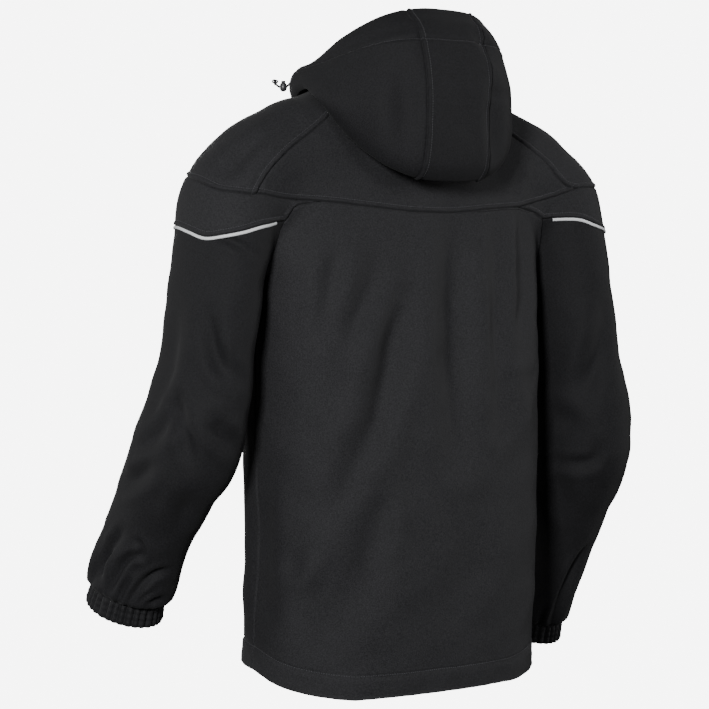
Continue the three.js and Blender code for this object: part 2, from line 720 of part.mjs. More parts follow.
// A row of hem points between two side seams, round the back or the front.
function hemLine(from, to, count, sign) {
  const out = [];
  const start = Math.atan2(from.x, sign * from.y);
  const end = Math.atan2(to.x, sign * to.y);
  for (let i = 0; i <= count; i += 1) {
    const angle = start + ((end - start) * i) / count;
    const p = vec(400 * Math.sin(angle), sign * 400 * Math.cos(angle), HEM_SIDE);
    for (let k = 0; k < 30; k += 1) {
      const q = p.clone().multiplyScalar(0.5);
      q.z = p.z;
      if (bodyCloth(q) > 0) p.copy(q);
      else break;
    }
    const flat = settle(p, (q) => bodyCloth(vec(q.x, q.y, HEM_SIDE)));
    out.push(vec(flat.x, flat.y, hemHeight(flat)));
  }
  return evenly(out, count, null);
}

// The back: yoke, shoulders, bands and the long panel.
const { left, right } = sides;
const yokeSeam = seam(
  [left.tipToRaglan[0], settle(vec(0, 98, -148), bodyCloth), right.tipToRaglan[0]],
  YOKE_COLS,
  bodyCloth,
);
const outward = (line) => [...line].reverse();
const join = (...lines) => lines.reduce((all, line) => [...all, ...line.slice(all.length ? 1 : 0)], []);

const yokeTop = join(outward(left.neckBack), right.neckBack);
const yokeBottom = join(outward(left.tipToRaglan), yokeSeam, right.tipToRaglan);
const yokeGrid = patch(yokeTop, yokeBottom, left.raglanBack, right.raglanBack, bodyCloth);
addWall("back_yoke", yokeGrid, facingsOn(yokeGrid, bodyCloth), "cloth");

const backLeft = join(left.armholeBack, left.sideSeam);
const backRight = join(right.armholeBack, right.sideSeam);
const backTop = join(outward(left.tipToArmhole), yokeSeam, right.tipToArmhole);
const backHem = hemLine(
  backLeft[backLeft.length - 1],
  backRight[backRight.length - 1],
  backTop.length - 1,
  1,
);
backLeft[backLeft.length - 1] = backHem[0];
backRight[backRight.length - 1] = backHem[backHem.length - 1];
const backGrid = patch(backTop, backHem, backLeft, backRight, bodyCloth);
addWall("back_panel", backGrid, facingsOn(backGrid, bodyCloth), "cloth");

for (const side of ["left", "right"]) {
  const s = sides[side];
  const sign = s.arm.sign;

  const shoulder = patch(s.neckSide, s.cap, s.raglanBack, s.raglanFront, bodyCloth);
  addWall("shoulder_" + side, shoulder, facingsOn(shoulder, bodyCloth), "cloth");

  const upper = join(s.tipToRaglan, s.cap);
  const lower = join(s.tipToArmhole, s.piping);
  const blunt = 0.2; // share of the first part cut off the band's sharp tip
  upper[0] = upper[0].clone().lerp(upper[1], blunt);
  lower[0] = lower[0].clone().lerp(lower[1], blunt);
  const tipEdge = evenly([upper[0], lower[0]], BAND_ROWS, null);
  const band = patch(upper, lower, tipEdge, s.bandFront, bodyCloth, 2);
  addWall("band_" + side, band, facingsOn(band, bodyCloth), "cloth");

  // Front panel, from the raglan seam and the armhole to the zip
  const edge = join(s.raglanFront, s.bandFront, s.armholeFront, s.sideSeam);
  const hemStart = backHem[side === "left" ? 0 : backHem.length - 1];
  edge[edge.length - 1] = hemStart;
  const neckEnd = s.neckFront[FRONT_COLS];
  const zipFoot = settle(vec(sign * ZIP_HALF_WIDTH, -110, HEM_FRONT), bodyCloth);
  zipFoot.x = sign * ZIP_HALF_WIDTH;
  zipFoot.z = HEM_FRONT;
  const frontHem = hemLine(hemStart, zipFoot, FRONT_COLS, -1);
  frontHem[0] = hemStart;
  const zipLine = [];
  const zipRows = edge.length - 1;
  for (let i = 0; i <= zipRows; i += 1) {
    const p = neckEnd.clone().lerp(zipFoot, i / zipRows);
    for (let k = 0; k < 4; k += 1) {
      p.copy(settle(p, bodyCloth));
      p.x = sign * ZIP_HALF_WIDTH;
    }
    zipLine.push(p);
  }
  frontHem[FRONT_COLS] = zipLine[zipRows];
  s.zipLine = zipLine;
  s.neckFront[FRONT_COLS] = zipLine[0];
  const front = patch(s.neckFront, frontHem, edge, zipLine, bodyCloth);
  addWall("front_" + side, front, facingsOn(front, bodyCloth), "cloth");

  // Sleeve: rings along the arm, from the piping seam and the armhole to the cuff
  const ring = [
    ...s.piping.slice(0, -1),
    ...s.armholeFront.slice(0, -1),
    ...outward(s.armholeBack).slice(0, -1),
  ];
  const { arm, sleeve } = s;
  const meridians = ring.map((p) => {
    const start = arm.nearest(p);
    const frame = arm.frame(start);
    const d = p.clone().sub(arm.middle(start));
    const turn = Math.atan2(d.dot(frame.rear) / arm.deep(start), d.dot(frame.side) / arm.wide(start));
    return { start, turn, p };
  });
  const rings = [];
  for (let r = 0; r <= SLEEVE_ROWS; r += 1) {
    rings.push(
      meridians.map((m) => {
        if (r === 0) return m.p.clone();
        const v = r / SLEEVE_ROWS;
        const at = m.start + (arm.length - m.start) * v;
        const frame = arm.frame(Math.min(at, arm.length - 1));
        const q = arm.middle(at);
        q.addScaledVector(frame.side, arm.wide(at) * Math.cos(m.turn));
        q.addScaledVector(frame.rear, arm.deep(at) * Math.sin(m.turn));
        if (r === SLEEVE_ROWS) return q;
        return settle(q, sleeve);
      }),
    );
  }
  addWall("sleeve_" + side, rings, facingsOn(rings, sleeve), "cloth", {
    wrap: true,
    inset: [1.4, 1, 1, 1],
  });

  // Piping, laid over the top of the sleeve
  const strip = [0, 1].map((k) =>
    s.piping.map((p, i) => {
      const down = rings[1][i % ring.length].clone().sub(p);
      return p.clone().addScaledVector(down.normalize(), k * PIPING_HEIGHT);
    }),
  );
  const pipingSkip = 1;
  const pipingGrid = strip.map((row) => row.slice(pipingSkip, -pipingSkip));
  addWall("piping_" + side, pipingGrid, facingsOn(pipingGrid, sleeve), "piping", {
    proud: SEAM_GAP + PIPING_WALL,
    thick: () => PIPING_WALL,
  });

  // Cuff: a gathered elastic ring under the end of the sleeve
  const end = arm.length;
  const frame = arm.frame(end - 4);
  const around = 2 * CUFF_GATHERS;
  const cuffRings = [0, 0.5, 1].map((share) => {
    const level = [];
    for (let c = 0; c < around; c += 1) {
      const turn = (2 * Math.PI * c) / around;
      const crest = c % 2 === 0 ? GATHER_DEPTH / 2 : -GATHER_DEPTH / 2;
      const flare = 2.4 * share + crest;
      const q = arm.middle(end).addScaledVector(frame.tangent, 0.3 + CUFF_HEIGHT * share);
      q.addScaledVector(frame.side, (arm.wide(end) + flare) * Math.cos(turn));
      q.addScaledVector(frame.rear, (arm.deep(end) + flare) * Math.sin(turn));
      level.push(q);
    }
    return level;
  });
  const flat = cuffRings.map((level, r) =>
    level.map((p) => {
      const d = p.clone().sub(arm.middle(end));
      return d.addScaledVector(frame.tangent, -d.dot(frame.tangent)).normalize();
    }),
  );
  addWall("cuff_" + side, cuffRings, flat, "cuff", {
    wrap: true,
    inset: [0, 0, 0, 0],
    thick: () => CUFF_WALL,
  });
}

// Hood rings: the collar seam first, then the table's rings.
const neckRing = (s) => join(s.neckBack, s.neckSide, s.neckFront);
const seamCol = YOKE_COLS / 2;

function hoodHalf(side) {
  const s = sides[side];
  const first = neckRing(s);
  const cols = first.length - 1;
  const grid = [first.map((p) => p.clone())];
  HOOD.forEach((row, r) => {
    const out = [];
    const turnAt = (x) => Math.asin((x / row.sideX) ** (1 / HOOD_ROUND));
    const atSeam = turnAt(HOOD_CENTRE_HALF);
    const atZip = Math.PI - Math.asin((ZIP_HALF_WIDTH / row.sideX) ** (1 / HOOD_FRONT_ROUND));
    for (let c = 0; c <= cols; c += 1) {
      const past = (c - seamCol) / (cols - seamCol);
      const turn = c <= seamCol ? (atSeam * c) / seamCol : atSeam + (atZip - atSeam) * past;
      const round = Math.cos(turn) > 0 ? HOOD_ROUND : HOOD_FRONT_ROUND;
      const rear = Math.sign(Math.cos(turn)) * Math.abs(Math.cos(turn)) ** round;
      const reach = rear > 0 ? row.backY - row.sideY : row.sideY - row.frontY;
      const lift = rear > 0 ? row.backZ - row.sideZ : row.frontZ - row.sideZ;
      const x = s.arm.sign * row.sideX * Math.sin(turn) ** round;
      const share = Math.abs(rear) ** (rear > 0 ? HOOD_SWEEP : 2);
      const p = vec(x, row.sideY + reach * rear, row.sideZ + lift * share);
      const clear = Math.min(HOOD_CLEAR, 1.3 * (r + 1));
      if (bodyCloth(p) < clear) p.copy(settle(p, (q) => bodyCloth(q) - clear));
      if (c === cols) p.x = s.arm.sign * ZIP_HALF_WIDTH;
      out.push(p);
    }
    grid.push(out);
  });
  return grid;
}

const hoodLeft = hoodHalf("left");
const hoodRight = hoodHalf("right");
const whole = hoodLeft.map((row, r) => [...outward(row), ...hoodRight[r].slice(1)]);
const hoodFacings = gridFacings(whole, false);
const middleCol = hoodLeft[0].length - 1;
if (hoodFacings[8][middleCol].y < 0) hoodFacings.forEach((row) => row.forEach((n) => n.negate()));
hoodFacings[0] = whole[0].map((p) => facing(bodyCloth, p));
const hoodThick = (r) => (r === 0 ? WALL : HOOD[r - 1].wall);
const hoodPieces = {
  hood_left: [0, middleCol - seamCol],
  hood_centre: [middleCol - seamCol, middleCol + seamCol],
  hood_right: [middleCol + seamCol, 2 * middleCol],
};
for (const [name, [from, to]] of Object.entries(hoodPieces)) {
  const cut = (rows) => rows.map((row) => row.slice(from, to + 1));
  addWall(name, cut(whole), cut(hoodFacings), "cloth", { thick: hoodThick });
}

// Front zip: one strip between the front panels, up to the throat of the hood.
const throat = [left, right].map((s, i) => {
  const half = i === 0 ? hoodLeft : hoodRight;
  const up = half.slice(1).map((row) => row[row.length - 1]).reverse();
  return [...up, ...s.zipLine];
});
const zipTop = [];
throat[0].forEach((p, i) => zipTop.push([p, throat[1][i]]));
const zipFacings = gridFacings(zipTop, false);
if (zipFacings[12][0].y > 0) zipFacings.forEach((row) => row.forEach((n) => n.negate()));
addWall("front_zip", zipTop, zipFacings, "zip");

// Slider on the top of the zip and its hanging tab.
function asManifold(geometry) {
  const plain = geometry.index ? geometry.toNonIndexed() : geometry.clone();
  const bare = new THREE.BufferGeometry();
  bare.setAttribute("position", plain.getAttribute("position"));
  const merged = mergeVertices(bare, 1e-4);
  const mesh = new wasm.Mesh({
    numProp: 3,
    vertProperties: merged.attributes.position.array,
    triVerts: new Uint32Array(merged.index.array),
  });
  return new wasm.Manifold(mesh);
}

function fromManifold(solid) {
  const mesh = solid.getMesh();
  const geometry = new THREE.BufferGeometry();
  geometry.setAttribute("position", new THREE.BufferAttribute(mesh.vertProperties, 3));
  geometry.setIndex(new THREE.BufferAttribute(mesh.triVerts, 1));
  const flatFaces = geometry.toNonIndexed();
  flatFaces.computeVertexNormals();
  return flatFaces;
}

function inFrame(geometry, spot, across, along, out) {
  const turn = new THREE.Matrix4().makeBasis(across, along, out);
  return geometry.applyMatrix4(turn.setPosition(spot));
}

function plate(halfX, fromY, toY, fromZ, toZ, corner) {
  const shape = new THREE.Shape();
  shape.moveTo(-halfX + corner, fromY);
  shape.lineTo(halfX - corner, fromY);
  shape.quadraticCurveTo(halfX, fromY, halfX, fromY + corner);
  shape.lineTo(halfX, toY - corner);
  shape.quadraticCurveTo(halfX, toY, halfX - corner, toY);
  shape.lineTo(-halfX + corner, toY);
  shape.quadraticCurveTo(-halfX, toY, -halfX, toY - corner);
  shape.lineTo(-halfX, fromY + corner);
  shape.quadraticCurveTo(-halfX, fromY, -halfX + corner, fromY);
  const options = { depth: toZ - fromZ, bevelEnabled: false, curveSegments: 3 };
  return new THREE.ExtrudeGeometry(shape, options).translate(0, 0, fromZ);
}

const sliderRow = 3;
const middleOf = (row) => zipTop[row][0].clone().add(zipTop[row][1]).multiplyScalar(0.5);
const sliderSpot = middleOf(sliderRow);
const across = vec(-1, 0, 0);
const alongZip = middleOf(sliderRow + 2).sub(middleOf(sliderRow - 2)).normalize();
const outZip = across.clone().cross(alongZip).normalize();
const half = SLIDER_LENGTH / 2;
const bridge = plate(BRIDGE_HALF, -4.4, 4.4, SLIDER_TOP - 0.4, BRIDGE_TOP, 0.3);
const window = plate(4, -2.8, 2.8, SLIDER_TOP, BRIDGE_TOP - 1.2, 0.3);
const slider = asManifold(plate(SLIDER_HALF, -half, half, 0.5, SLIDER_TOP, 2))
  .add(asManifold(bridge))
  .subtract(asManifold(window));
const sliderFrame = [sliderSpot, across, alongZip, outZip];
addGeometry("zip_slider", inFrame(fromManifold(slider), ...sliderFrame), "metal");

// The tab hangs straight down from its pin.
const pin = sliderSpot.clone().addScaledVector(outZip, PIN_HEIGHT);
const down = vec(0, 0, -1);
const tabOut = across.clone().cross(down).normalize();
const bar = new THREE.CylinderGeometry(0.75, 0.75, 2 * TAB_HALF, 12).rotateZ(Math.PI / 2);
const eye = plate(1.7, -3, 5.2, -2, 2, 0.4);
const tab = asManifold(plate(TAB_HALF, -0.7, TAB_LENGTH, -TAB_THICK / 2, TAB_THICK / 2, 0.6))
  .subtract(asManifold(eye))
  .add(asManifold(bar));
addGeometry("zip_pull", inFrame(fromManifold(tab), pin, across, down, tabOut), "metal");

// Hood cord: eyelet on the tunnel, a ball lock on the cord and a knot at its end.
for (const side of ["left", "right"]) {
  const grid = side === "left" ? hoodLeft : hoodRight;
  const sign = arms[side].sign;
  const col = Math.round(seamCol + (grid[0].length - 1 - seamCol) * EYELET_TURN);
  const row = grid.length - 2;
  const corners = [grid[row][col], grid[row][col + 1], grid[row + 1][col], grid[row + 1][col + 1]];
  const spot = corners.reduce((sum, p) => sum.add(p), vec(0, 0, 0)).multiplyScalar(0.25);
  const out = corners[1].clone().sub(corners[2]).cross(corners[3].clone().sub(corners[0]));
  out.normalize();
  if (out.x * sign < 0) out.negate();
  const up = vec(0, 0, 1);
  up.addScaledVector(out, -up.dot(out)).normalize();
  const cross = up.clone().cross(out).normalize();
  const ring = [
    new THREE.Vector2(EYELET_HOLE, 0.5),
    new THREE.Vector2(EYELET_RADIUS, 0.5),
    new THREE.Vector2(EYELET_RADIUS - 0.5, 0.5 + EYELET_THICK),
    new THREE.Vector2(EYELET_HOLE, 0.5 + EYELET_THICK),
    new THREE.Vector2(EYELET_HOLE, 0.5),
  ];
  const eyelet = new THREE.LatheGeometry(ring, 20).rotateX(Math.PI / 2);
  const eyeletFrame = [spot, cross, up, out];
  addGeometry("eyelet_" + side, inFrame(fromManifold(asManifold(eyelet)), ...eyeletFrame), "metal");

  const level = out.clone().setZ(0).normalize();
  const lock = spot.clone().addScaledVector(level, LOCK_AWAY).add(vec(0, 0, -LOCK_BELOW));
  const path = new THREE.CatmullRomCurve3([
    spot.clone().addScaledVector(out, 1),
    spot.clone().addScaledVector(out, 6).add(vec(0, 0, -2)),
    lock.clone().addScaledVector(level, -4),
    lock.clone(),
    lock.clone().addScaledVector(level, 4),
    lock.clone().addScaledVector(level, 9).add(vec(0, 0, 2.5)),
    lock.clone().addScaledVector(level, 12).add(vec(0, 0, 7)),
  ]);
  const disc = new THREE.Shape();
  for (let i = 0; i < 8; i += 1) {
    const angle = (Math.PI * i) / 4;
    disc[i ? "lineTo" : "moveTo"](CORD_RADIUS * Math.cos(angle), CORD_RADIUS * Math.sin(angle));
  }
  const cord = new THREE.ExtrudeGeometry(disc, { steps: 12, extrudePath: path, bevelEnabled: false });
  const knot = new THREE.IcosahedronGeometry(CORD_KNOT, 1);
  const tip = path.getPoint(1);
  knot.translate(tip.x, tip.y, tip.z);
  addGeometry("drawcord_" + side, fromManifold(asManifold(cord).add(asManifold(knot))), "cord");

  const tall = LOCK_HEIGHT / 2;
  const barrel = [];
  for (let i = 0; i <= 8; i += 1) {
    const angle = -Math.PI / 2 + (Math.PI * i) / 8;
    const wide = i === 0 || i === 8 ? 0 : LOCK_RADIUS * Math.cos(angle) ** 0.7;
    barrel.push(new THREE.Vector2(wide, tall * Math.sin(angle)));
  }
  const ball = new THREE.LatheGeometry(barrel, 16).rotateX(Math.PI / 2);
  const button = new THREE.CylinderGeometry(LOCK_BUTTON, LOCK_BUTTON, 4, 12);
  button.rotateX(Math.PI / 2).translate(0, 0, tall);
  const bore = new THREE.CylinderGeometry(LOCK_BORE, LOCK_BORE, 24, 12);
  const solid = asManifold(ball).add(asManifold(button)).subtract(asManifold(bore));
  const sideways = vec(0, 0, 1).cross(level).normalize();
  const lockFrame = [lock, sideways.negate(), level, vec(0, 0, 1)];
  addGeometry("cord_lock_" + side, inFrame(fromManifold(solid), ...lockFrame), "metal");
}

export default group;
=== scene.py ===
"""Hooded softshell jacket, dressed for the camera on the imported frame.

Cloth forms are worked out in millimetres from the cut's own sizes, then written in metres.
X points to the wearer's left, Y to the wearer's back and Z up.
"""

from __future__ import annotations

import sys

import logging
import math
from dataclasses import dataclass
from enum import Enum
from typing import Callable, NamedTuple, Sequence

import bpy
import numpy as np
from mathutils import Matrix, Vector


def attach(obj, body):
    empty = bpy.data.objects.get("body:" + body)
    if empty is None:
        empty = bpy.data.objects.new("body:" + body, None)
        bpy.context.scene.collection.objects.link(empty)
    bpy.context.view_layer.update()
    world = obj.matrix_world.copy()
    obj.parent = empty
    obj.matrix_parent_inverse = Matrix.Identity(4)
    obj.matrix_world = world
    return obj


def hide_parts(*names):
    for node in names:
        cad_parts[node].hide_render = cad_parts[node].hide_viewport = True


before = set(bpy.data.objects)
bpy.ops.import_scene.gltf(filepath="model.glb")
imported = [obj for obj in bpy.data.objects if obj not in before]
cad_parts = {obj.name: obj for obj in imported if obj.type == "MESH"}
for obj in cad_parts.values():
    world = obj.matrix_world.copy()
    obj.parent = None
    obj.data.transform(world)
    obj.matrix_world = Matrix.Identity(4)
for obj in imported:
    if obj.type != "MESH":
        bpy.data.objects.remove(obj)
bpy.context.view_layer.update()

log = logging.getLogger("jacket")

Array = np.ndarray
Field = Callable[[Array], Array]

MM = 0.001
WALL = 2.0  # bonded softshell, drawn a little heavy
HEM_BACK = -741.0  # dropped tail
HEM_SIDE = -710.0
HEM_FRONT = -700.0
HEM_TILT = 5.0  # the hem hangs lower on the left side
HEM_HALF = 190.0
UNDERARM = -226.0  # sleeve and body part below this height
ZIP_HALF_WIDTH = 5.0
STITCH_OFFSET = 6.5  # topstitching beside a seam
HEM_STITCH = 28.0  # hem's stitch line above its edge
FOLD_GAIN = 2.1  # creases are drawn this much deeper than their rows say
STROKE_PARTS = 10
COARSE_STEP = 24.0  # of the grids that are evened out before they are read finely
BRAID_TWIST = 0.1  # turns of the braid for each millimetre
BODY_NAME = "jacket"


class Side(Enum):
    """The wearer's left or right."""

    LEFT = "left"
    RIGHT = "right"

    @property
    def sign(self) -> float:
        """Direction of this side along X."""
        return 1.0 if self is Side.LEFT else -1.0


class View(Enum):
    """Direction that a fold is drawn from, in degrees round from straight behind."""

    PHOTO = 32.0
    FRONT = 180.0
    LEFT = 90.0
    RIGHT = -90.0


class BodyRow(NamedTuple):
    """One level section of the body."""

    z: float
    half: float
    shift: float
    front: float
    back: float
    square: float


class ArmRow(NamedTuple):
    """One section of a sleeve."""

    x: float
    y: float
    z: float
    wide: float
    deep: float


class SeamRow(NamedTuple):
    """Heights of the cap seam and the piping seam at one turn round the arm."""

    turn: float
    cap: float
    piping: float


class NeckRow(NamedTuple):
    """A place on the collar seam."""

    x: float
    y: float
    z: float


class HoodRow(NamedTuple):
    """Where one ring of the hood crosses the back, the side and the front."""

    back_y: float
    back_z: float
    side_x: float
    side_y: float
    side_z: float
    front_y: float
    front_z: float


class Corners(NamedTuple):
    """Corners where the seams of one side meet."""

    raglan_back: tuple[float, float, float]
    band_tip: tuple[float, float, float]
    raglan_front: tuple[float, float, float]
    armhole_back: float
    armhole_front: float


class Fold(NamedTuple):
    """A trough drawn square to one view: start, middle and end, width and depth."""

    on: str
    view: View
    u1: float
    z1: float
    um: float
    zm: float
    u2: float
    z2: float
    wide: float
    deep: float


BODY = [
    BodyRow(*row)
    for row in (
        (60, 44, 0, 34, 40, 2.1), (20, 84, 0, 50, 58, 2.1), (0, 122, 0, 62, 68, 2.2),
        (-34, 170, 0, 74, 78, 2.3), (-70, 200, 0, 86, 87, 2.5), (-110, 208, 0, 100, 94, 2.7),
        (-150, 208, 0, 112, 99, 2.8), (-200, 205, 0, 118, 108, 2.8), (-250, 202, -1, 120, 114, 2.8),
        (-330, 201, -3, 119, 121, 2.7), (-450, 198, -4, 116, 128, 2.6), (-560, 197, -4, 115, 130, 2.5),
        (-700, 194, 0, 114, 125, 2.5), (-760, 193, 1, 113, 122, 2.5),
    )
]

ARMS = {
    side: [ArmRow(*row) for row in rows]
    for side, rows in (
        (Side.LEFT, (
            (150, 6, -66, 56, 64), (205, 9, -94, 55, 68), (236, 12, -139, 61, 72), (248, 14, -190, 55, 75),
            (258, 14, -245, 52, 75), (266, 10, -325, 52, 75), (273, 0, -390, 57, 80),
            (282, -15, -438, 61, 78), (291, -40, -480, 56, 68), (297, -70, -522, 52, 63),
            (302, -95, -566, 51, 61), (307, -112, -599, 55, 63), (308.4, -119, -614, 54, 62),
            (309, -122, -622, 45, 52),
        )),
        (Side.RIGHT, (
            (150, 6, -58, 56, 64), (208, 10, -86, 54, 68), (244, 14, -130, 60, 72), (256, 18, -185, 56, 75),
            (263, 22, -240, 54, 75), (273, 25, -324, 53, 75), (286, 25, -407, 58, 80),
            (289, 22, -441, 59, 80), (292, 10, -476, 56, 72), (295, -12, -515, 52, 65),
            (297, -50, -580, 50, 60), (293, -75, -632, 50, 58), (290, -88, -662, 53, 60),
            (289, -92.5, -676, 52, 59), (288.6, -95, -684, 44, 51),
        )),
    )
}

ARM_SEAMS_LEFT = [
    SeamRow(*row)
    for row in (
        (100, -131, -168), (81, -131, -175), (61, -128, -180), (43, -124, -182), (16, -113, -174),
        (-10, -107, -168), (-32, -104, -166), (-60, -107, -167), (-95, -116, -168),
    )
]

CORNERS = {
    Side.LEFT: Corners((237, 73, -131), (148, 85, -137), (226, -58, -112), -154, -160),
    Side.RIGHT: Corners((236, 74, -112), (148, 85, -137), (228, -56, -102), -142, -148),
}

NECK = [
    NeckRow(*row)
    for row in (
        (0, 64, 8), (40, 60, 10), (62, 50, 13), (82, 20, 19), (86, -6, 18), (78, -38, 2), (48, -66, -34),
        (ZIP_HALF_WIDTH, -78, -58),
    )
]

HOOD = [
    HoodRow(*row)
    for row in (
        (67, 22, 88, -6, 26, -82, -50), (78, 29, 95, -4, 29, -84, -46), (90, 15, 103, 0, 24, -87, -43),
        (100, -22, 110, 4, 15, -90, -40), (110, -62, 117, 6, 9, -92, -36), (122, -97, 123, 7, 7, -94, -33),
        (143, -112, 128, 6, 10, -96, -29), (162, -95, 130, 4, 16, -98, -25),
        (170, -52, 130, 0, 22, -100, -21), (171, -6, 128, -4, 28, -102, -17),
        (164, 40, 123, -7, 33, -104, -13), (149, 76, 117, -9, 37, -105, -9),
        (124, 101, 109, -10, 40, -106, -5),
    )
]

FOLDS = [
    Fold(on, view, *row)
    for on, view, rows in (
        ("body", View.PHOTO, (
            (-12, -194, -24, -250, -54, -312, 15, 4.6), (-64, -200, -68, -235, -76, -300, 12, 2.6),
            (14, -258, 5, -334, -22, -436, 17, 8.0), (-24, -412, -40, -460, -64, -512, 18, 3.8),
            (84, -146, 87, -270, 88, -456, 20, 8.2), (136, -165, 139, -280, 142, -420, 13, 5.2),
            (173, -148, 175, -215, 167, -324, 11, 4.6), (177, -370, 178, -395, 176, -430, 10, -2.2),
            (-22, -495, -20, -555, -40, -640, 24, 5.0), (-60, -600, -72, -650, -70, -700, 26, 3.5),
            (-86, -560, -96, -590, -112, -615, 12, -2.4), (8, -480, 14, -520, 8, -565, 10, -2.0),
            (110, -520, 104, -580, 84, -640, 22, 2.8), (-150, -470, -158, -560, -150, -650, 14, 3.0),
            (-196, -112, -180, -84, -148, -50, 13, 3.0), (-150, -40, -170, -58, -196, -84, 9, -1.6),
            (176, -92, 168, -108, 160, -124, 6, 1.6), (190, -84, 186, -104, 176, -126, 6, 1.4),
        )),
        ("body", View.FRONT, (
            (60, -240, 84, -310, 100, -400, 15, 5), (88, -200, 96, -250, 96, -330, 11, 3),
            (-62, -270, -74, -340, -66, -450, 15, 5), (-110, -190, -112, -280, -124, -370, 12, 4),
            (120, -470, 96, -540, 84, -620, 20, 4.5), (-124, -430, -110, -520, -88, -600, 20, 4),
            (30, -150, 44, -200, 50, -260, 11, 3),
        )),
        ("left", View.PHOTO, (
            (-205, -182, -182, -189, -160, -203, 5, 2.4), (-212, -270, -205, -322, -182, -352, 10, 4.5),
            (-228, -410, -222, -440, -216, -470, 9, -1.4), (-258, -372, -246, -400, -236, -440, 9, 3.5),
            (-205, -400, -196, -420, -180, -440, 10, 4.5), (-262, -270, -268, -335, -300, -428, 12, 3.0),
            (-232, -490, -244, -510, -252, -540, 12, 3.5), (-350, -556, -356, -582, -360, -604, 6, 4.5),
            (-307, -551, -300, -560, -303, -572, 4, 2.8), (-301, -571, -322, -577, -342, -613, 4.5, 3.4),
            (-266, -590, -294, -599, -316, -628, 4.5, 3.4), (-318, -600, -326, -612, -332, -628, 3.5, 2.6),
            (-290, -618, -302, -624, -308, -634, 3.0, 2.0), (-274, -626, -286, -629, -299, -633, 4, 2.4),
        )),
        ("left", View.LEFT, (
            (40, -380, 10, -420, -30, -440, 12, 4.5), (20, -440, -20, -470, -60, -480, 11, 4.0),
            (-60, -540, -90, -570, -120, -610, 7, 3.6),
        )),
        ("left", View.FRONT, (
            (262, -350, 280, -400, 300, -430, 12, 5.5), (256, -410, 284, -440, 312, -452, 10, 5.0),
            (280, -545, 300, -575, 322, -600, 7, 4.0), (340, -540, 328, -580, 322, -612, 6, 3.6),
        )),
        ("right", View.PHOTO, (
            (293, -255, 277, -319, 252, -380, 15, 5.0), (208, -404, 228, -408, 246, -420, 13, 2.6),
            (272, -446, 262, -468, 214, -468, 8, 2.8), (216, -492, 228, -504, 232, -526, 12, 2.2),
            (272, -584, 247, -624, 221, -700, 5, 3.4), (278, -600, 256, -640, 236, -690, 5, -1.6),
            (214, -672, 208, -684, 206, -700, 4, 2.5),
        )),
        ("right", View.RIGHT, (
            (-60, -390, -20, -430, 40, -440, 12, 4.5), (-20, -450, 10, -480, 50, -480, 11, 4.0),
            (-30, -590, -60, -630, -90, -668, 7, 4.0),
        )),
        ("right", View.FRONT, (
            (-262, -360, -284, -410, -310, -440, 12, 5.5), (-260, -430, -286, -456, -316, -468, 10, 5.0),
            (-262, -600, -276, -640, -300, -668, 7, 4.0),
        )),
        ("hood", View.PHOTO, (
            (-84, 38, -46, 54, 22, 72, 6, 1.6), (108, 70, 129, 52, 152, 34, 6, 2.2),
            (112, 55, 133, 36, 152, 20, 5, 1.6), (14, 26, 22, -24, 18, -84, 16, 3.4),
            (132, 10, 130, -36, 134, -84, 9, 3.0), (-92, 6, -72, -14, -50, -38, 15, -2.2),
            (128, 2, 140, -4, 152, -4, 6, 1.8),
        )),
        ("hood", View.FRONT, (
            (-40, 60, 0, 66, 40, 58, 14, 2.0),
        )),
    )
    for row in rows
]


class Reader:
    """A smooth, never overshooting reader of one list of values along another."""

    def __init__(self, at: Sequence[float], values: Sequence[float]) -> None:
        """Sorts the values and works out their slopes.

        Args:
            at: Places of the values.
            values: The values.
        """
        order = np.argsort(at)
        self.at = np.array(at, float)[order]
        self.value = np.array(values, float)[order]
        rise = np.diff(self.value) / np.diff(self.at)
        slope = np.empty_like(self.value)
        slope[0], slope[-1] = rise[0], rise[-1]
        same = rise[:-1] * rise[1:] > 0
        total = np.where(same, rise[:-1] + rise[1:], 1.0)
        slope[1:-1] = np.where(same, 2 * rise[:-1] * rise[1:] / total, 0.0)
        self.slope = slope

    def __call__(self, a: Array) -> Array:
        """Reads the values at the places a.

        Args:
            a: Places.

        Returns:
            The values there.
        """
        a = np.clip(np.asarray(a, float), self.at[0], self.at[-1])
        i = np.clip(np.searchsorted(self.at, a) - 1, 0, len(self.at) - 2)
        h = self.at[i + 1] - self.at[i]
        t = (a - self.at[i]) / h
        s = 1 - t
        low = self.value[i] * s * s * (1 + 2 * t) + self.slope[i] * h * t * s * s
        return low + self.value[i + 1] * t * t * (1 + 2 * s) - self.slope[i + 1] * h * t * t * s


def readers(at: Sequence[float], rows: Sequence[NamedTuple], names: Sequence[str]) -> dict[str, Reader]:
    """Returns a reader of each named column of a table."""
    return {name: Reader(at, [getattr(row, name) for row in rows]) for name in names}


def unit(v: Array) -> Array:
    """Returns the vectors at length one."""
    return v / np.maximum(np.linalg.norm(v, axis=-1, keepdims=True), 1e-9)


def lengths_of(line: Array) -> Array:
    """Returns the length along a line up to each of its points."""
    return np.concatenate([[0], np.cumsum(np.linalg.norm(np.diff(line, axis=0), axis=1))])


def dot(a: Array, b: Array) -> Array:
    """Returns the dot products of two sets of vectors."""
    return np.einsum("...k,...k->...", a, b)


def blend(a: Array, b: Array, k: Array) -> Array:
    """Joins two fields softly; k is how soft."""
    h = np.maximum(k - np.abs(a - b), 0) / k
    return np.minimum(a, b) - 0.25 * h * h * k


def smooth_step(low: float, high: float, a: Array) -> Array:
    """Returns 0 below low, 1 above high and a soft rise between."""
    t = np.clip((a - low) / (high - low), 0, 1)
    return t * t * (3 - 2 * t)


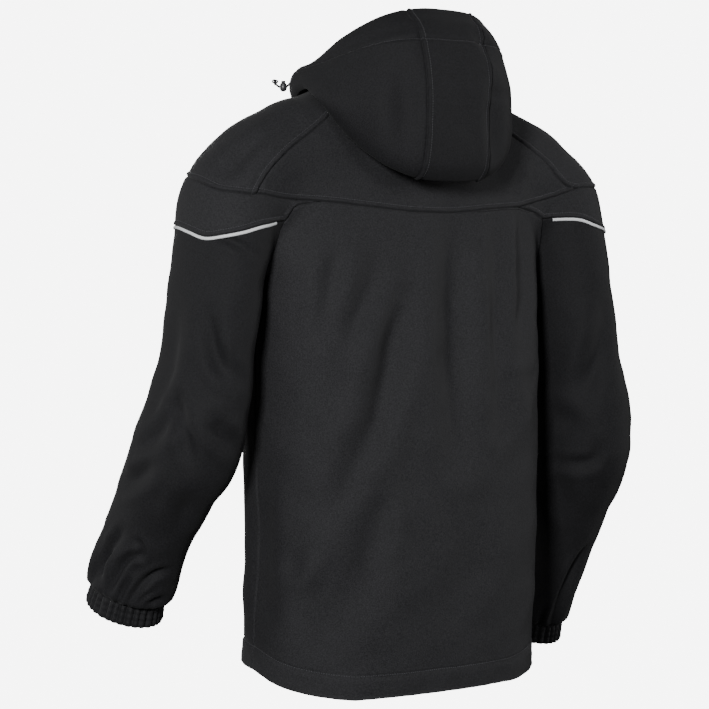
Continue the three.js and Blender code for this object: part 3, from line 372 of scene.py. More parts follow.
class Arm:
    """A sleeve's middle line with its sections."""

    STEPS = 600
    COARSE = 96

    def __init__(self, side: Side) -> None:
        """Reads the sleeve's table.

        Args:
            side: Left or right.
        """
        rows = ARMS[side]
        self.sign = side.sign
        spots = np.array([[row.x, row.y, row.z] for row in rows], float)
        along = lengths_of(spots)
        self.length = float(along[-1])
        self.read = readers(along, rows, ArmRow._fields)
        s = np.linspace(0, self.length, self.STEPS + 1)
        middle = self.middle(s)
        tangent = unit(self.middle(s + 4) - self.middle(s - 4))
        out = np.zeros_like(middle)
        out[:, 0] = self.sign
        out = unit(out - tangent * dot(out, tangent)[:, None])
        rear = np.zeros_like(middle)
        rear[:, 1] = 1
        rear = rear - tangent * dot(rear, tangent)[:, None]
        rear = unit(rear - out * dot(rear, out)[:, None])
        sizes = np.stack([self.read["wide"](s), self.read["deep"](s)], axis=1)
        self.table = np.concatenate([middle, tangent, out, rear, sizes], axis=1)
        self.coarse = self.middle(np.linspace(0, self.length, self.COARSE + 1))

    def middle(self, s: Array) -> Array:
        """Returns the middle line's points at lengths s."""
        x, y, z = (self.read[name](s) for name in "xyz")
        return np.stack([self.sign * x, y, z], axis=-1)

    def at(self, s: Array) -> tuple[Array, Array, Array, Array, Array, Array]:
        """Reads the sections at lengths s.

        Args:
            s: Lengths down the arm.

        Returns:
            Middle, tangent, outward and rear directions, half width and half depth.
        """
        k = np.clip(s / self.length * self.STEPS, 0, self.STEPS - 1e-6)
        i = k.astype(int)
        t = (k - i)[:, None]
        row = self.table[i] * (1 - t) + self.table[i + 1] * t
        return row[:, 0:3], row[:, 3:6], row[:, 6:9], row[:, 9:12], row[:, 12], row[:, 13]

    def nearest(self, p: Array) -> Array:
        """Returns the lengths along the middle line that lie nearest to the places.

        Args:
            p: Places.

        Returns:
            The lengths.
        """
        m = self.coarse
        far = (p * p).sum(1)[:, None] - 2 * p @ m.T + (m * m).sum(1)[None]
        best = far.argmin(1)
        low = np.maximum(0, best - 1)
        high = np.minimum(self.COARSE, best + 1)
        line = m[high] - m[low]
        share = dot(p - m[low], line) / dot(line, line)
        step = self.length / self.COARSE
        return np.clip(low * step + share * np.linalg.norm(line, axis=1), 0, self.length)

    def field(self, p: Array) -> Array:
        """Returns how far places lie outside the sleeve's cloth.

        Args:
            p: Places.

        Returns:
            The distances.
        """
        middle, tangent, out, rear, wide, deep = self.at(self.nearest(p))
        d = p - middle
        size = np.sqrt(
            (dot(d, out) / wide) ** 2 + (dot(d, rear) / deep) ** 2 + (dot(d, tangent) / wide) ** 2
        )
        return (size - 1) * np.minimum(wide, deep)


SOFTNESS = Reader([-200, -172, -140, -90, -40], [9, 20, 50, 54, 30])  # of the join of sleeve and body
BODY_READ = readers([row.z for row in BODY], BODY, BodyRow._fields[1:])
ARM = {side: Arm(side) for side in Side}


def body_field(p: Array) -> Array:
    """Returns how far places lie outside the body's cloth.

    Args:
        p: Places.

    Returns:
        The distances.
    """
    z = p[:, 2]
    half = BODY_READ["half"](z)
    depth = np.where(p[:, 1] > 0, BODY_READ["back"](z), BODY_READ["front"](z))
    n = BODY_READ["square"](z)
    x = p[:, 0] - BODY_READ["shift"](z)
    total = (np.abs(x) / half) ** n + (np.abs(p[:, 1]) / depth) ** n
    return (total ** (1 / n) - 1) * np.minimum(half, 0.5 * (half + depth))


def body_cloth(p: Array) -> Array:
    """Returns the body's cloth joined to both sleeves above the underarms.

    Args:
        p: Places.

    Returns:
        The distances from this cloth.
    """
    arm = np.empty(len(p))
    for side in Side:
        own = (p[:, 0] > 0) == (side is Side.LEFT)
        if own.any():
            arm[own] = ARM[side].field(p[own])
    arm += np.maximum(0, UNDERARM - p[:, 2])
    return blend(body_field(p), arm, SOFTNESS(p[:, 2]))


def sleeve_cloth(side: Side) -> Field:
    """Returns the field of one sleeve, joined to the body above the underarm.

    Args:
        side: Left or right.

    Returns:
        The field.
    """

    def field(p: Array) -> Array:
        """Returns how far places lie outside this sleeve."""
        apart = np.maximum(0, UNDERARM - p[:, 2])
        return blend(ARM[side].field(p), body_field(p) + apart, SOFTNESS(p[:, 2]))

    return field


def slope_of(field: Field, p: Array) -> Array:
    """Returns a field's slope at the places.

    Args:
        field: The cloth.
        p: Places.

    Returns:
        The slopes.
    """
    e = 0.5
    axes = np.eye(3) * e
    both = np.concatenate([p + axis for axis in axes] + [p - axis for axis in axes])
    f = field(both).reshape(6, len(p))
    return (f[:3] - f[3:]).T


def settle(p: Array, field: Field, rounds: int = 9) -> Array:
    """Moves places to the cloth's outer face by the shortest way.

    Args:
        p: Places.
        field: The cloth.
        rounds: Most steps that are taken.

    Returns:
        The places on the cloth.
    """
    q = p.copy()
    live = np.arange(len(q))
    for _ in range(rounds):
        f = field(q[live])
        rest = np.abs(f) > 0.01
        live, f = live[rest], f[rest]
        if not len(live):
            break
        g = slope_of(field, q[live])
        step = np.clip(f / np.maximum(dot(g, g), 1e-6), -24, 24)
        q[live] -= g * step[:, None]
    return q


def read_line(values: Array, along: Array, want: Array) -> Array:
    """Returns vectors that are given at the lengths along, read at the lengths want."""
    return np.stack([np.interp(want, along, values[:, k]) for k in range(3)], axis=1)


def sample(line: Array, shares: Array) -> Array:
    """Returns a line's points at shares of its length."""
    along = lengths_of(line)
    return read_line(line, along, np.asarray(shares) * along[-1])


def evenly(line: Array, count: int, field: Field | None = None) -> Array:
    """Splits a line into equal lengths, settled on the cloth where a field is given."""
    out = sample(line, np.linspace(0, 1, count + 1))
    return settle(out, field) if field else out


def smooth_line(corners: Array, count: int) -> Array:
    """Returns a centripetal smooth line through the corners, in equal lengths.

    Args:
        corners: Places that the line runs through.
        count: How many equal parts.

    Returns:
        The line.
    """
    pts = np.asarray(corners, float)
    pts = np.concatenate([[2 * pts[0] - pts[1]], pts, [2 * pts[-1] - pts[-2]]])
    out = []
    for i in range(1, len(pts) - 2):
        p0, p1, p2, p3 = pts[i - 1 : i + 3]
        d0, d1, d2 = (max(np.linalg.norm(b - a) ** 0.5, 1e-4) for a, b in ((p0, p1), (p1, p2), (p2, p3)))
        t1 = ((p1 - p0) / d0 - (p2 - p0) / (d0 + d1) + (p2 - p1) / d1) * d1
        t2 = ((p2 - p1) / d1 - (p3 - p1) / (d1 + d2) + (p3 - p2) / d2) * d1
        t = np.linspace(0, 1, 40, endpoint=False)[:, None]
        a = 2 * p1 - 2 * p2 + t1 + t2
        b = -3 * p1 + 3 * p2 - 2 * t1 - t2
        out.append(a * t**3 + b * t**2 + t1 * t + p1)
    return sample(np.concatenate([*out, [pts[-2]]]), np.linspace(0, 1, count + 1))


def seam(corners: Array, count: int, field: Field) -> Array:
    """Returns a seam through a few places, split evenly on the cloth."""
    return evenly(settle(smooth_line(corners, count), field), count, field)


def join(*lines: Array) -> Array:
    """Joins lines end to end."""
    return np.concatenate([line if k == 0 else line[1:] for k, line in enumerate(lines)])


def around_arm(arm: Arm, turn: float, z: float, field: Field) -> Array:
    """Returns where a level ray from the sleeve's middle line leaves the cloth.

    Args:
        arm: The sleeve.
        turn: Direction of the ray in degrees; 0 is outwards and 90 the back.
        z: Height.
        field: The cloth.

    Returns:
        The place.
    """
    s = np.linspace(0, arm.length, 2001)
    middle = arm.middle(s[np.abs(arm.read["z"](s) - z).argmin()][None])[0]
    angle = math.radians(turn)
    out = np.array([arm.sign * math.cos(angle), math.sin(angle), 0])
    reach = np.linspace(0, 130, 521)
    inside = field(middle + reach[:, None] * out) < 0
    return middle + reach[np.argmin(inside)] * out


def crease(arm: Arm, y: Array) -> Array:
    """Returns the places where the body's and the sleeve's faces meet, one for each depth y.

    Args:
        arm: The sleeve.
        y: Depths.

    Returns:
        The places.
    """
    z = UNDERARM + 60 * (np.abs(y - 10) / 70) ** 2
    q = np.stack([np.full_like(y, arm.sign * 203), y, z], axis=1)
    e = 0.2
    dx, dz = np.array([e, 0, 0]), np.array([0, 0, e])
    for _ in range(40):
        a, b = body_field(q), arm.field(q)
        ax, az = (body_field(q + dx) - a) / e, (body_field(q + dz) - a) / e
        bx, bz = (arm.field(q + dx) - b) / e, (arm.field(q + dz) - b) / e
        det = ax * bz - az * bx
        det = np.where(np.abs(det) < 1e-6, 1e-6, det)
        q[:, 0] -= np.clip((a * bz - b * az) / det, -4, 4)
        q[:, 2] -= np.clip((ax * b - bx * a) / det, -6, 6)
    return q


@dataclass
class SideSeams:
    """All seams of one side, as fine lines on the cloth."""

    side: Side
    fine: int = 90

    def __post_init__(self) -> None:
        """Works the seams out from the corners and tables."""
        arm = ARM[self.side]
        sign = arm.sign
        corners = CORNERS[self.side]
        sleeve = sleeve_cloth(self.side)
        fine = self.fine

        def place(*xyz: float) -> Array:
            """Returns one place on the body's cloth."""
            return settle(np.array([[sign * xyz[0], xyz[1], xyz[2]]]), body_cloth)[0]

        lift = [6 + 16 * max(0, math.sin(math.radians(row.turn))) for row in ARM_SEAMS_LEFT]
        right = [SeamRow(row.turn, row.cap + up, row.piping + 19) for row, up in zip(ARM_SEAMS_LEFT, lift)]
        table = ARM_SEAMS_LEFT if self.side is Side.LEFT else right
        neck = seam(np.array([[sign * row.x, row.y, row.z] for row in NECK]), 600, body_cloth)
        self.neck_back, self.neck_side, self.neck_front = neck[:171], neck[170:341], neck[340:]
        raglan_back = place(*corners.raglan_back)
        raglan_front = place(*corners.raglan_front)
        tip = place(*corners.band_tip)
        rear = crease(arm, np.arange(10, 88, 2.0))
        fore = crease(arm, np.arange(8, -78, -2.0))
        ring = np.concatenate([fore[::-1], rear])
        low = int(ring[:, 2].argmin())
        rear = self.cut(ring[low:], corners.armhole_back)
        self.armhole_back = evenly(rear[::-1], fine, sleeve)
        fore = self.cut(ring[: low + 1][::-1], corners.armhole_front)
        self.armhole_front = evenly(fore[::-1], fine, sleeve)
        caps = [around_arm(arm, row.turn, row.cap, sleeve) for row in table[1:-1]]
        pipes = [around_arm(arm, row.turn, row.piping, sleeve) for row in table]
        self.cap = seam(np.array([raglan_back, *caps, raglan_front]), 2 * fine, sleeve)
        pipe_ends = [self.armhole_back[0], *pipes, self.armhole_front[0]]
        self.piping = seam(np.array(pipe_ends), 2 * fine, sleeve)
        rise = corners.raglan_back[2]
        between = [place(132, 66, -36), place(190, 74, -78), place(220, 74, -106)]
        back_line = [self.neck_side[0], *between, raglan_back]
        self.raglan_back = seam(np.array(back_line), fine, body_cloth)
        front_line = [self.neck_front[0], place(136, -50, -40), place(196, -56, -80), raglan_front]
        self.raglan_front = seam(np.array(front_line), fine, body_cloth)
        self.tip_to_raglan = seam(
            np.array([tip, place(196, 80, (rise - 139) / 2), raglan_back]), fine, body_cloth
        )
        self.tip_to_armhole = seam(
            np.array([tip, place(180, 80, -146), self.armhole_back[0]]), fine, body_cloth
        )
        self.band_front = seam(np.array([raglan_front, self.armhole_front[0]]), fine, body_cloth)
        under = self.armhole_back[-1]
        hem = np.array([sign * 189, -6, HEM_SIDE])
        line = under + (hem - under) * np.linspace(0, 1, 7)[:, None]
        self.side_seam = seam(line, 2 * fine, body_cloth)

    @staticmethod
    def cut(line: Array, z: float) -> Array:
        """Cuts a rising line off at a height.

        Args:
            line: The line's points.
            z: Height.

        Returns:
            The line up to there.
        """
        end = int(np.argmax(line[:, 2] > z))
        a, b = line[end - 1], line[end]
        return np.concatenate([line[:end], [a + (b - a) * (z - a[2]) / (b[2] - a[2])]])


SEAMS = {side: SideSeams(side) for side in Side}


def hem_height(p: Array) -> Array:
    """Returns the hem's height at the places.

    Args:
        p: Places.

    Returns:
        The heights.
    """
    side = HEM_SIDE - HEM_TILT * p[:, 0] / HEM_HALF
    rear = (HEM_BACK - HEM_SIDE) * np.clip(p[:, 1] / 110, 0, 1)
    fore = (HEM_FRONT - HEM_SIDE) * np.clip(-p[:, 1] / 90, 0, 1)
    return side + rear + fore


def hem_line(start: Array, end: Array, count: int, sign: float) -> Array:
    """Returns the hem between two places, round the back (1) or the front (-1).

    Args:
        start: Where it starts.
        end: Where it ends.
        count: How many equal parts.
        sign: 1 for the back, -1 for the front.

    Returns:
        The hem's points.
    """
    a, b = (math.atan2(p[0], sign * p[1]) for p in (start, end))
    angle = np.linspace(a, b, count + 1)
    out = np.stack([np.sin(angle), sign * np.cos(angle), np.zeros_like(angle)], axis=1)
    low, high = np.zeros(len(out)), np.full(len(out), 400.0)
    for _ in range(30):
        r = (low + high) / 2
        p = out * r[:, None]
        p[:, 2] = HEM_SIDE
        inside = body_cloth(p) < 0
        low, high = np.where(inside, r, low), np.where(inside, high, r)
    p = out * low[:, None]
    p[:, 2] = hem_height(p)
    return evenly(p, count)


class Stroke:
    """One fold as a soft line in its view's plane."""

    def __init__(self, row: Fold) -> None:
        """Splits the fold's line into short parts.

        Args:
            row: The crease's row.
        """
        self.row = row
        angle = math.radians(row.view.value)
        self.toward = np.array([math.sin(angle), math.cos(angle), 0.0])
        self.across = np.array([-math.cos(angle), math.sin(angle), 0.0])
        t = np.linspace(0, 1, STROKE_PARTS + 1)[:, None]
        a, m, b = np.array([row.u1, row.z1]), np.array([row.um, row.zm]), np.array([row.u2, row.z2])
        bend = 2 * m - 0.5 * (a + b)
        self.line = a * (1 - t) ** 2 + 2 * bend * t * (1 - t) + b * t**2

    def depth(self, p: Array, facing: Array) -> Array:
        """Returns how deep the fold sinks the cloth at the places.

        Args:
            p: Places on the cloth.
            facing: Outward directions.

        Returns:
            The depths in millimetres.
        """
        q = np.stack([p @ self.across, p[:, 2]], axis=1)
        least = np.full(len(q), 1e9)
        share = np.zeros(len(q))
        for k in range(STROKE_PARTS):
            a, line = self.line[k], self.line[k + 1] - self.line[k]
            t = np.clip((q - a) @ line / (line @ line), 0, 1)
            d = np.linalg.norm(q - a - t[:, None] * line, axis=1)
            near = d < least
            least[near] = d[near]
            share[near] = (k + t[near]) / STROKE_PARTS
        off = least / self.row.wide
        taper = np.sin(np.pi * np.clip(share * 0.9 + 0.05, 0, 1)) ** 0.7
        seen = np.clip(facing @ self.toward * 1.6, 0, 1)
        profile = np.exp(-(off**2)) - 0.32 * np.exp(-((off - 1.9) ** 2) * 1.4)
        return FOLD_GAIN * self.row.deep * taper * seen * profile


STROKES = [Stroke(row) for row in FOLDS]


def ripple(p: Array, seed: int, size: float) -> Array:
    """Returns soft uneven waves over the cloth, about 1 high and one size long.

    Args:
        p: Places.
        seed: Seed of the random draw.
        size: Length of a wave.

    Returns:
        The height at each place.
    """
    rng = np.random.default_rng(seed)
    total = np.zeros(len(p))
    for _ in range(9):
        way = unit(rng.normal(size=3)) * (2 * np.pi / size) * rng.uniform(0.6, 1.5)
        total += np.sin(p @ way + rng.uniform(0, 2 * np.pi))
    return total / 3


def distance_to(p: Array, line: Array) -> Array:
    """Returns the distance from each place to a line.

    Args:
        p: Places.
        line: The line.

    Returns:
        The distances.
    """
    line = line[:: max(1, len(line) // 80)] if len(line) > 120 else line
    least = np.full(len(p), 1e9)
    for a, b in zip(line[:-1], line[1:]):
        way = b - a
        t = np.clip((p - a) @ way / max(way @ way, 1e-9), 0, 1)
        least = np.minimum(least, np.linalg.norm(p - a - t[:, None] * way, axis=1))
    return least


class Rim(Enum):
    """How the edge of a piece is finished."""

    SEAM = "seam"  # sewn to a neighbour, rolled in
    STITCHED = "stitched"  # sewn and topstitched on this piece
    HEM = "hem"  # turned up and stitched


class Edge(NamedTuple):
    """One edge of a piece."""

    line: Array
    rim: Rim


def bell(d: Array, wide: float) -> Array:
    """Returns a soft bell, 1 at distance 0."""
    return np.exp(-((d / wide) ** 2))


def strip(d: Array, high: float) -> Array:
    """Returns the raised strip between a seam and its topstitching, with the stitches' furrow."""
    ridge = high * smooth_step(0.6, 2.4, d) * (1 - smooth_step(STITCH_OFFSET - 2.2, STITCH_OFFSET + 0.4, d))
    return ridge - 0.45 * bell(d - STITCH_OFFSET, 0.9)


def pucker(p: Array, d: Array, seed: int, size: float, reach: float) -> Array:
    """Returns the small uneven waves that a seam draws into the cloth beside it."""
    return np.sin(ripple(p, seed, size) * 5) * np.exp(-d / reach)


def edge_height(p: Array, edges: Sequence[Edge]) -> Array:
    """Returns how far seams and stitching lift the cloth.

    Args:
        p: Places.
        edges: Its edges.

    Returns:
        The lift in millimetres.
    """
    lift = np.zeros(len(p))
    for edge in edges:
        d = distance_to(p, edge.line)
        if edge.rim is Rim.HEM:
            lift += 1.2 * (1 - smooth_step(HEM_STITCH - 3, HEM_STITCH + 1, d))
            lift -= 1.6 * bell(d - HEM_STITCH, 1.2)
            lift += 0.5 * bell(d, 22) * ripple(p, 7, 18)
            continue
        lift -= 1.5 * bell(d, 1.1)
        waves = 0.25 * pucker(p, d, 5, 24, 9)
        if edge.rim is Rim.STITCHED:
            lift += strip(d, 1.5)
            waves *= 1.6
        lift += waves
    return lift


CLOSE = (0, 0.6, 1.3, 2.2, 3.6, 5.2, 6.5, 7.8, 9.6, 12.5)  # rows beside a seam
TURN_UP = (0, 1.5, 5, 9, 13, 17, 21, 25, 27, 28, 29, 31, 34)  # rows of the turned-up hem


def stops(length: float, step: float, last: Sequence[float] = CLOSE) -> Array:
    """Returns shares along a length: close together at both ends, even between.

    Args:
        length: The whole length.
        step: Spacing between.
        last: Distances from the far end.

    Returns:
        The shares, from 0 to 1.
    """
    count = max(2, round((length - CLOSE[-1] - last[-1]) / step))
    middle = np.linspace(CLOSE[-1], length - last[-1], count + 1)[1:-1]
    return np.concatenate([CLOSE, middle, length - np.array(last)[::-1]]) / length


def coons(edges: Sequence[Array], u: Array, v: Array) -> Array:
    """Fills between the top, bottom, left and right rows of points, at shares u across and v down.

    Args:
        edges: Its edges.
        u: Shares across.
        v: Shares down.

    Returns:
        The grid.
    """
    top, bottom, left, right = edges
    u, v = u[None, :, None], v[:, None, None]
    ruled = top[None] * (1 - v) + bottom[None] * v + left[:, None] * (1 - u) + right[:, None] * u
    corners = (top[0] * (1 - u) + top[-1] * u) * (1 - v) + (bottom[0] * (1 - u) + bottom[-1] * u) * v
    return ruled - corners


def smooth_weights(shares: Array, count: int) -> Array:
    """Returns the weights that read a row of evenly spaced points smoothly at the shares.

    Args:
        shares: Shares of the row.
        count: How many parts the row has.

    Returns:
        One row of weights a share.
    """
    at = np.clip(shares * count, 0, count - 1e-9)
    i = at.astype(int)
    t = at - i
    parts = (
        (-0.5 * t**3 + t**2 - 0.5 * t, -1),
        (1.5 * t**3 - 2.5 * t**2 + 1, 0),
        (-1.5 * t**3 + 2 * t**2 + 0.5 * t, 1),
        (0.5 * t**3 - 0.5 * t**2, 2),
    )
    weights = np.zeros((len(shares), count + 1))
    row = np.arange(len(shares))
    for part, step in parts:
        k = i + step
        low, high = k < 0, k > count
        inside = ~(low | high)
        np.add.at(weights, (row[inside], k[inside]), part[inside])
        for out, end, turn in ((low, 0, 1), (high, count, -1)):
            np.add.at(weights, (row[out], np.full(out.sum(), end)), 2 * part[out])
            np.add.at(weights, (row[out], np.full(out.sum(), end + turn)), -part[out])
    return weights


def settle_grid(grid: Array, field: Field, rounds: int = 9) -> Array:
    """Settles a whole grid on the cloth."""
    return settle(grid.reshape(-1, 3), field, rounds).reshape(grid.shape)


def patch(seams: Sequence[Array], across: Array, down: Array, field: Field) -> Array:
    """Returns a grid of places between four seams, settled on the cloth.

    A coarse grid is evened out first, then read finely, so that the fine grid never folds over.

    Args:
        seams: Top and bottom, which run across, and left and right, which run down.
        across: Shares along top and bottom.
        down: Shares along left and right.
        field: The cloth.

    Returns:
        The grid, rows by columns by 3.
    """
    lengths = [lengths_of(line)[-1] for line in seams]
    cols = max(4, round(lengths[0] / COARSE_STEP), round(lengths[1] / COARSE_STEP))
    rows = max(4, round(lengths[2] / COARSE_STEP), round(lengths[3] / COARSE_STEP))
    u, v = np.linspace(0, 1, cols + 1), np.linspace(0, 1, rows + 1)
    grid = coons([sample(line, share) for line, share in zip(seams, (u, u, v, v))], u, v)
    for _ in range(16):
        grid[1:-1, 1:-1] = settle_grid(grid[1:-1, 1:-1], field, 5)
        for _ in range(3):
            mean = grid[:-2, 1:-1] + grid[2:, 1:-1] + grid[1:-1, :-2] + grid[1:-1, 2:]
            grid[1:-1, 1:-1] += 0.6 * (mean / 4 - grid[1:-1, 1:-1])
    grid[1:-1, 1:-1] = settle_grid(grid[1:-1, 1:-1], field)
    fine = np.einsum("ri,cj,ijk->rck", smooth_weights(down, rows), smooth_weights(across, cols), grid)
    t, b, lt, rt = (sample(line, share) for line, share in zip(seams, (across, across, down, down)))
    fine += coons([t - fine[0], b - fine[-1], lt - fine[:, 0], rt - fine[:, -1]], across, down)
    fine[1:-1, 1:-1] = settle_grid(fine[1:-1, 1:-1], field)
    return fine


def grid_facings(grid: Array) -> Array:
    """Returns the mean facing of a grid at each point."""
    return unit(np.cross(np.gradient(grid, axis=1), np.gradient(grid, axis=0)))


def outward_facings(grid: Array, field: Field) -> Array:
    """Returns the cloth field's facing at each point of a grid."""
    return unit(slope_of(field, grid.reshape(-1, 3))).reshape(grid.shape)


def fold_cloth(grid: Array, facings: Array, group: str, edges: Sequence[Edge], calm: float = 1.0) -> Array:
    """Gives a smooth grid its folds, waves and seams.

    Args:
        grid: Places on the smooth cloth.
        facings: Outward directions.
        group: Which folds it takes.
        edges: Its edges.
        calm: Height of its soft waves.

    Returns:
        The folded grid.
    """
    p, n = grid.reshape(-1, 3), facings.reshape(-1, 3)
    lift = calm * (0.9 * ripple(p, 11, 95) + 0.3 * ripple(p, 12, 38))
    for stroke in STROKES:
        if stroke.row.on == group:
            lift -= stroke.depth(p, n)
    lift += edge_height(p, edges)
    return (p + n * lift[:, None]).reshape(grid.shape)


def make_object(
    name: str,
    places: Array,
    faces: Sequence[Sequence[int]],
    finish: bpy.types.Material | None = None,
    smooth: bool = True,
) -> bpy.types.Object:
    """Makes a mesh object from places in millimetres.

    Args:
        name: The piece's name.
        places: Its points.
        faces: The points of each face.
        finish: Material.
        smooth: Whether its faces are shaded smooth.

    Returns:
        The piece.
    """
    mesh = bpy.data.meshes.new(name)
    mesh.from_pydata((np.asarray(places) * MM).tolist(), [], [list(map(int, face)) for face in faces])
    mesh.validate()
    mesh.update()
    mesh.polygons.foreach_set("use_smooth", [smooth] * len(mesh.polygons))
    if finish:
        mesh.materials.append(finish)
    return link_object(name, mesh)


def link_object(name: str, data: bpy.types.ID) -> bpy.types.Object:
    """Puts a mesh, lamp or camera into the scene as an object.

    Args:
        name: The piece's name.
        data: Its data.

    Returns:
        The object.
    """
    obj = bpy.data.objects.new(name, data)
    bpy.context.scene.collection.objects.link(obj)
    return obj


def wall(
    name: str,
    grid: Array,
    facings: Array,
    finish: bpy.types.Material,
    thick: float | Array = WALL,
    wrap: bool = False,
    round_ends: tuple[bool, bool] = (False, False),
) -> bpy.types.Object:
    """Makes a closed cloth wall from its outer face.

    Args:
        name: The piece's name.
        grid: Outer face.
        facings: Outward directions.
        finish: Material.
        thick: Thickness, one for all or one a row.
        wrap: Whether the columns close into a tube.
        round_ends: Whether the first and last rows turn over in a soft fold.

    Returns:
        The piece.
    """
    rows, cols = grid.shape[:2]
    depth = np.broadcast_to(np.asarray(thick, float).reshape(-1, 1, 1), (rows, 1, 1))
    layers = [grid.reshape(-1, 3), (grid - facings * depth).reshape(-1, 3)]
    count = 2 * rows * cols
    faces: list[Array] = []
    caps: list[list[int]] = []

    def quads(*corners: Array) -> None:
        """Adds one face for each set of four points."""
        faces.append(np.stack([corner.ravel() for corner in corners], axis=1))

    def closed(row: Array) -> Array:
        """Returns points with the first ones again at the end, where the columns close."""
        return np.concatenate([row, row[..., :1]], axis=-1) if wrap else row

    near = closed(np.arange(rows * cols).reshape(rows, cols))
    far = near + rows * cols
    quads(near[:-1, :-1], near[1:, :-1], near[1:, 1:], near[:-1, 1:])
    quads(far[:-1, 1:], far[1:, 1:], far[1:, :-1], far[:-1, :-1])
    for end, inner, soft in ((0, 1, round_ends[0]), (rows - 1, rows - 2, round_ends[1])):
        chain = [near[end], far[end]]
        if soft:
            way = unit(grid[end] - grid[inner])
            reach = 0.5 * depth[end, 0, 0]
            for angle in np.radians((45, 90, 135)):
                sunk = facings[end] * reach * (1 - math.cos(angle))
                layers.append(grid[end] - sunk + way * reach * math.sin(angle))
                chain.insert(-1, closed(np.arange(count, count + cols)))
                count += cols
        for a, b in zip(chain[:-1], chain[1:]):
            if end == 0:
                quads(a[:-1], a[1:], b[1:], b[:-1])
            else:
                quads(a[1:], a[:-1], b[:-1], b[1:])
        if soft and not wrap:
            for c in (0, -1):
                corner = [int(row[c]) for row in chain]
                caps.append(corner if (c == 0) == (end == 0) else corner[::-1])
    if not wrap:
        for a, b in ((near[:, 0], far[:, 0]), (far[:, -1], near[:, -1])):
            quads(a[:-1], b[:-1], b[1:], a[1:])
    places, every = np.concatenate(layers), np.concatenate(faces)
    a, b, c, d = (places[every[:, k]] for k in range(4))
    volume = dot(a, np.cross(b, c)).sum() + dot(a, np.cross(c, d)).sum()
    turned = -1 if volume < 0 else 1
    return make_object(name, places, [face[::turned] for face in every.tolist() + caps], finish)


def solid_of_rings(name: str, rings: Array, finish: bpy.types.Material) -> bpy.types.Object:
    """Makes a solid from rings of points, closed at both ends.

    Args:
        name: The piece's name.
        rings: Rings of points, in order.
        finish: Material.

    Returns:
        The piece.
    """
    count, sides = rings.shape[:2]
    index = np.arange(count * sides).reshape(count, sides)
    right = np.roll(index, -1, axis=1)
    faces = np.stack([index[:-1], right[:-1], right[1:], index[1:]], axis=-1).reshape(-1, 4).tolist()
    faces += [index[0][::-1].tolist(), index[-1].tolist()]
    return make_object(name, rings.reshape(-1, 3), faces, finish)


@dataclass(frozen=True)
class Cloth:
    """A woven, knitted or braided finish: two tones, its thread and a faint broad sheen."""

    name: str
    colour: str
    light: str
    rough: float
    thread_mm: float
    weave_height: float
    cloud_mm: float
    sheen: float = 0.03
    clouding: float = 0.08  # share of soft clouds in the colour; the rest is fine fleck
    specular: float = 0.2

    def material(self) -> bpy.types.Material:
        """Makes the material: clouded colour, thread bump and sheen.

        Returns:
            The material.
        """
        paint = Paint(self.name)
        cloud = paint.noise(self.cloud_mm, Detail=3.0, Roughness=0.55)
        fleck = paint.noise(1.5 * self.thread_mm, Detail=2.0, Roughness=0.6)
        thread = paint.add(
            "ShaderNodeTexVoronoi", {"feature": "F1"},
            Vector=paint.where, Scale=1000 / self.thread_mm, Randomness=0.75,
        )
        sum_up = {"operation": "MULTIPLY_ADD"}
        both = paint.add("ShaderNodeMath", sum_up, n0=cloud, n1=self.clouding, n2=0.0)
        mixed = paint.add("ShaderNodeMath", sum_up, n0=fleck, n1=1 - self.clouding, n2=both.outputs[0])
        bump = paint.add(
            "ShaderNodeBump",
            Height=thread.outputs["Distance"], Strength=0.6, Distance=self.weave_height * MM * 2.4,
        )
        soft = paint.add(
            "ShaderNodeBump",
            Height=fleck, Strength=0.45, Distance=self.thread_mm * MM * 0.5, Normal=bump.outputs["Normal"],
        )
        return paint.done(
            Base_Color=paint.ramp(mixed.outputs[0], (0.30, linear(self.colour)), (0.70, linear(self.light))),
            Roughness=paint.spread(fleck, self.rough - 0.06, self.rough + 0.06),
            Normal=soft.outputs["Normal"],
            Sheen_Weight=self.sheen,
            Sheen_Roughness=0.45,
            Specular_IOR_Level=self.specular,
        )


@dataclass(frozen=True)
class Hard:
    """A moulded or lacquered finish with fine grain, rubbed a little lighter in soft random patches."""

    name: str
    colour: str
    rough: float
    grain_mm: float
    metal: float
    rubbed: float = 1.8  # how much lighter the rubbed places are

    def material(self) -> bpy.types.Material:
        """Makes the material.

        Returns:
            The material.
        """
        paint = Paint(self.name)
        grain = paint.noise(self.grain_mm, Detail=3.0)
        worn = paint.noise(6 * self.grain_mm, Detail=4.0)
        shade = [min(1.0, c * self.rubbed) for c in linear(self.colour)[:3]]
        bump = paint.add("ShaderNodeBump", Height=grain, Strength=0.25, Distance=0.05 * MM)
        return paint.done(
            Base_Color=paint.ramp(worn, (0.4, linear(self.colour)), (0.85, (*shade, 1.0))),
            Roughness=paint.spread(worn, self.rough - 0.06, self.rough + 0.1),
            Normal=bump.outputs["Normal"],
            Metallic=self.metal,
        )


def linear(colour: str) -> tuple[float, float, float, float]:
    """Turns an sRGB hex colour to linear RGBA.

    Args:
        colour: Hex colour.

    Returns:
        The colour.
    """
    parts = [int(colour[k : k + 2], 16) / 255 for k in (1, 3, 5)]
    r, g, b = (c / 12.92 if c <= 0.04045 else ((c + 0.055) / 1.055) ** 2.4 for c in parts)
    return (r, g, b, 1.0)


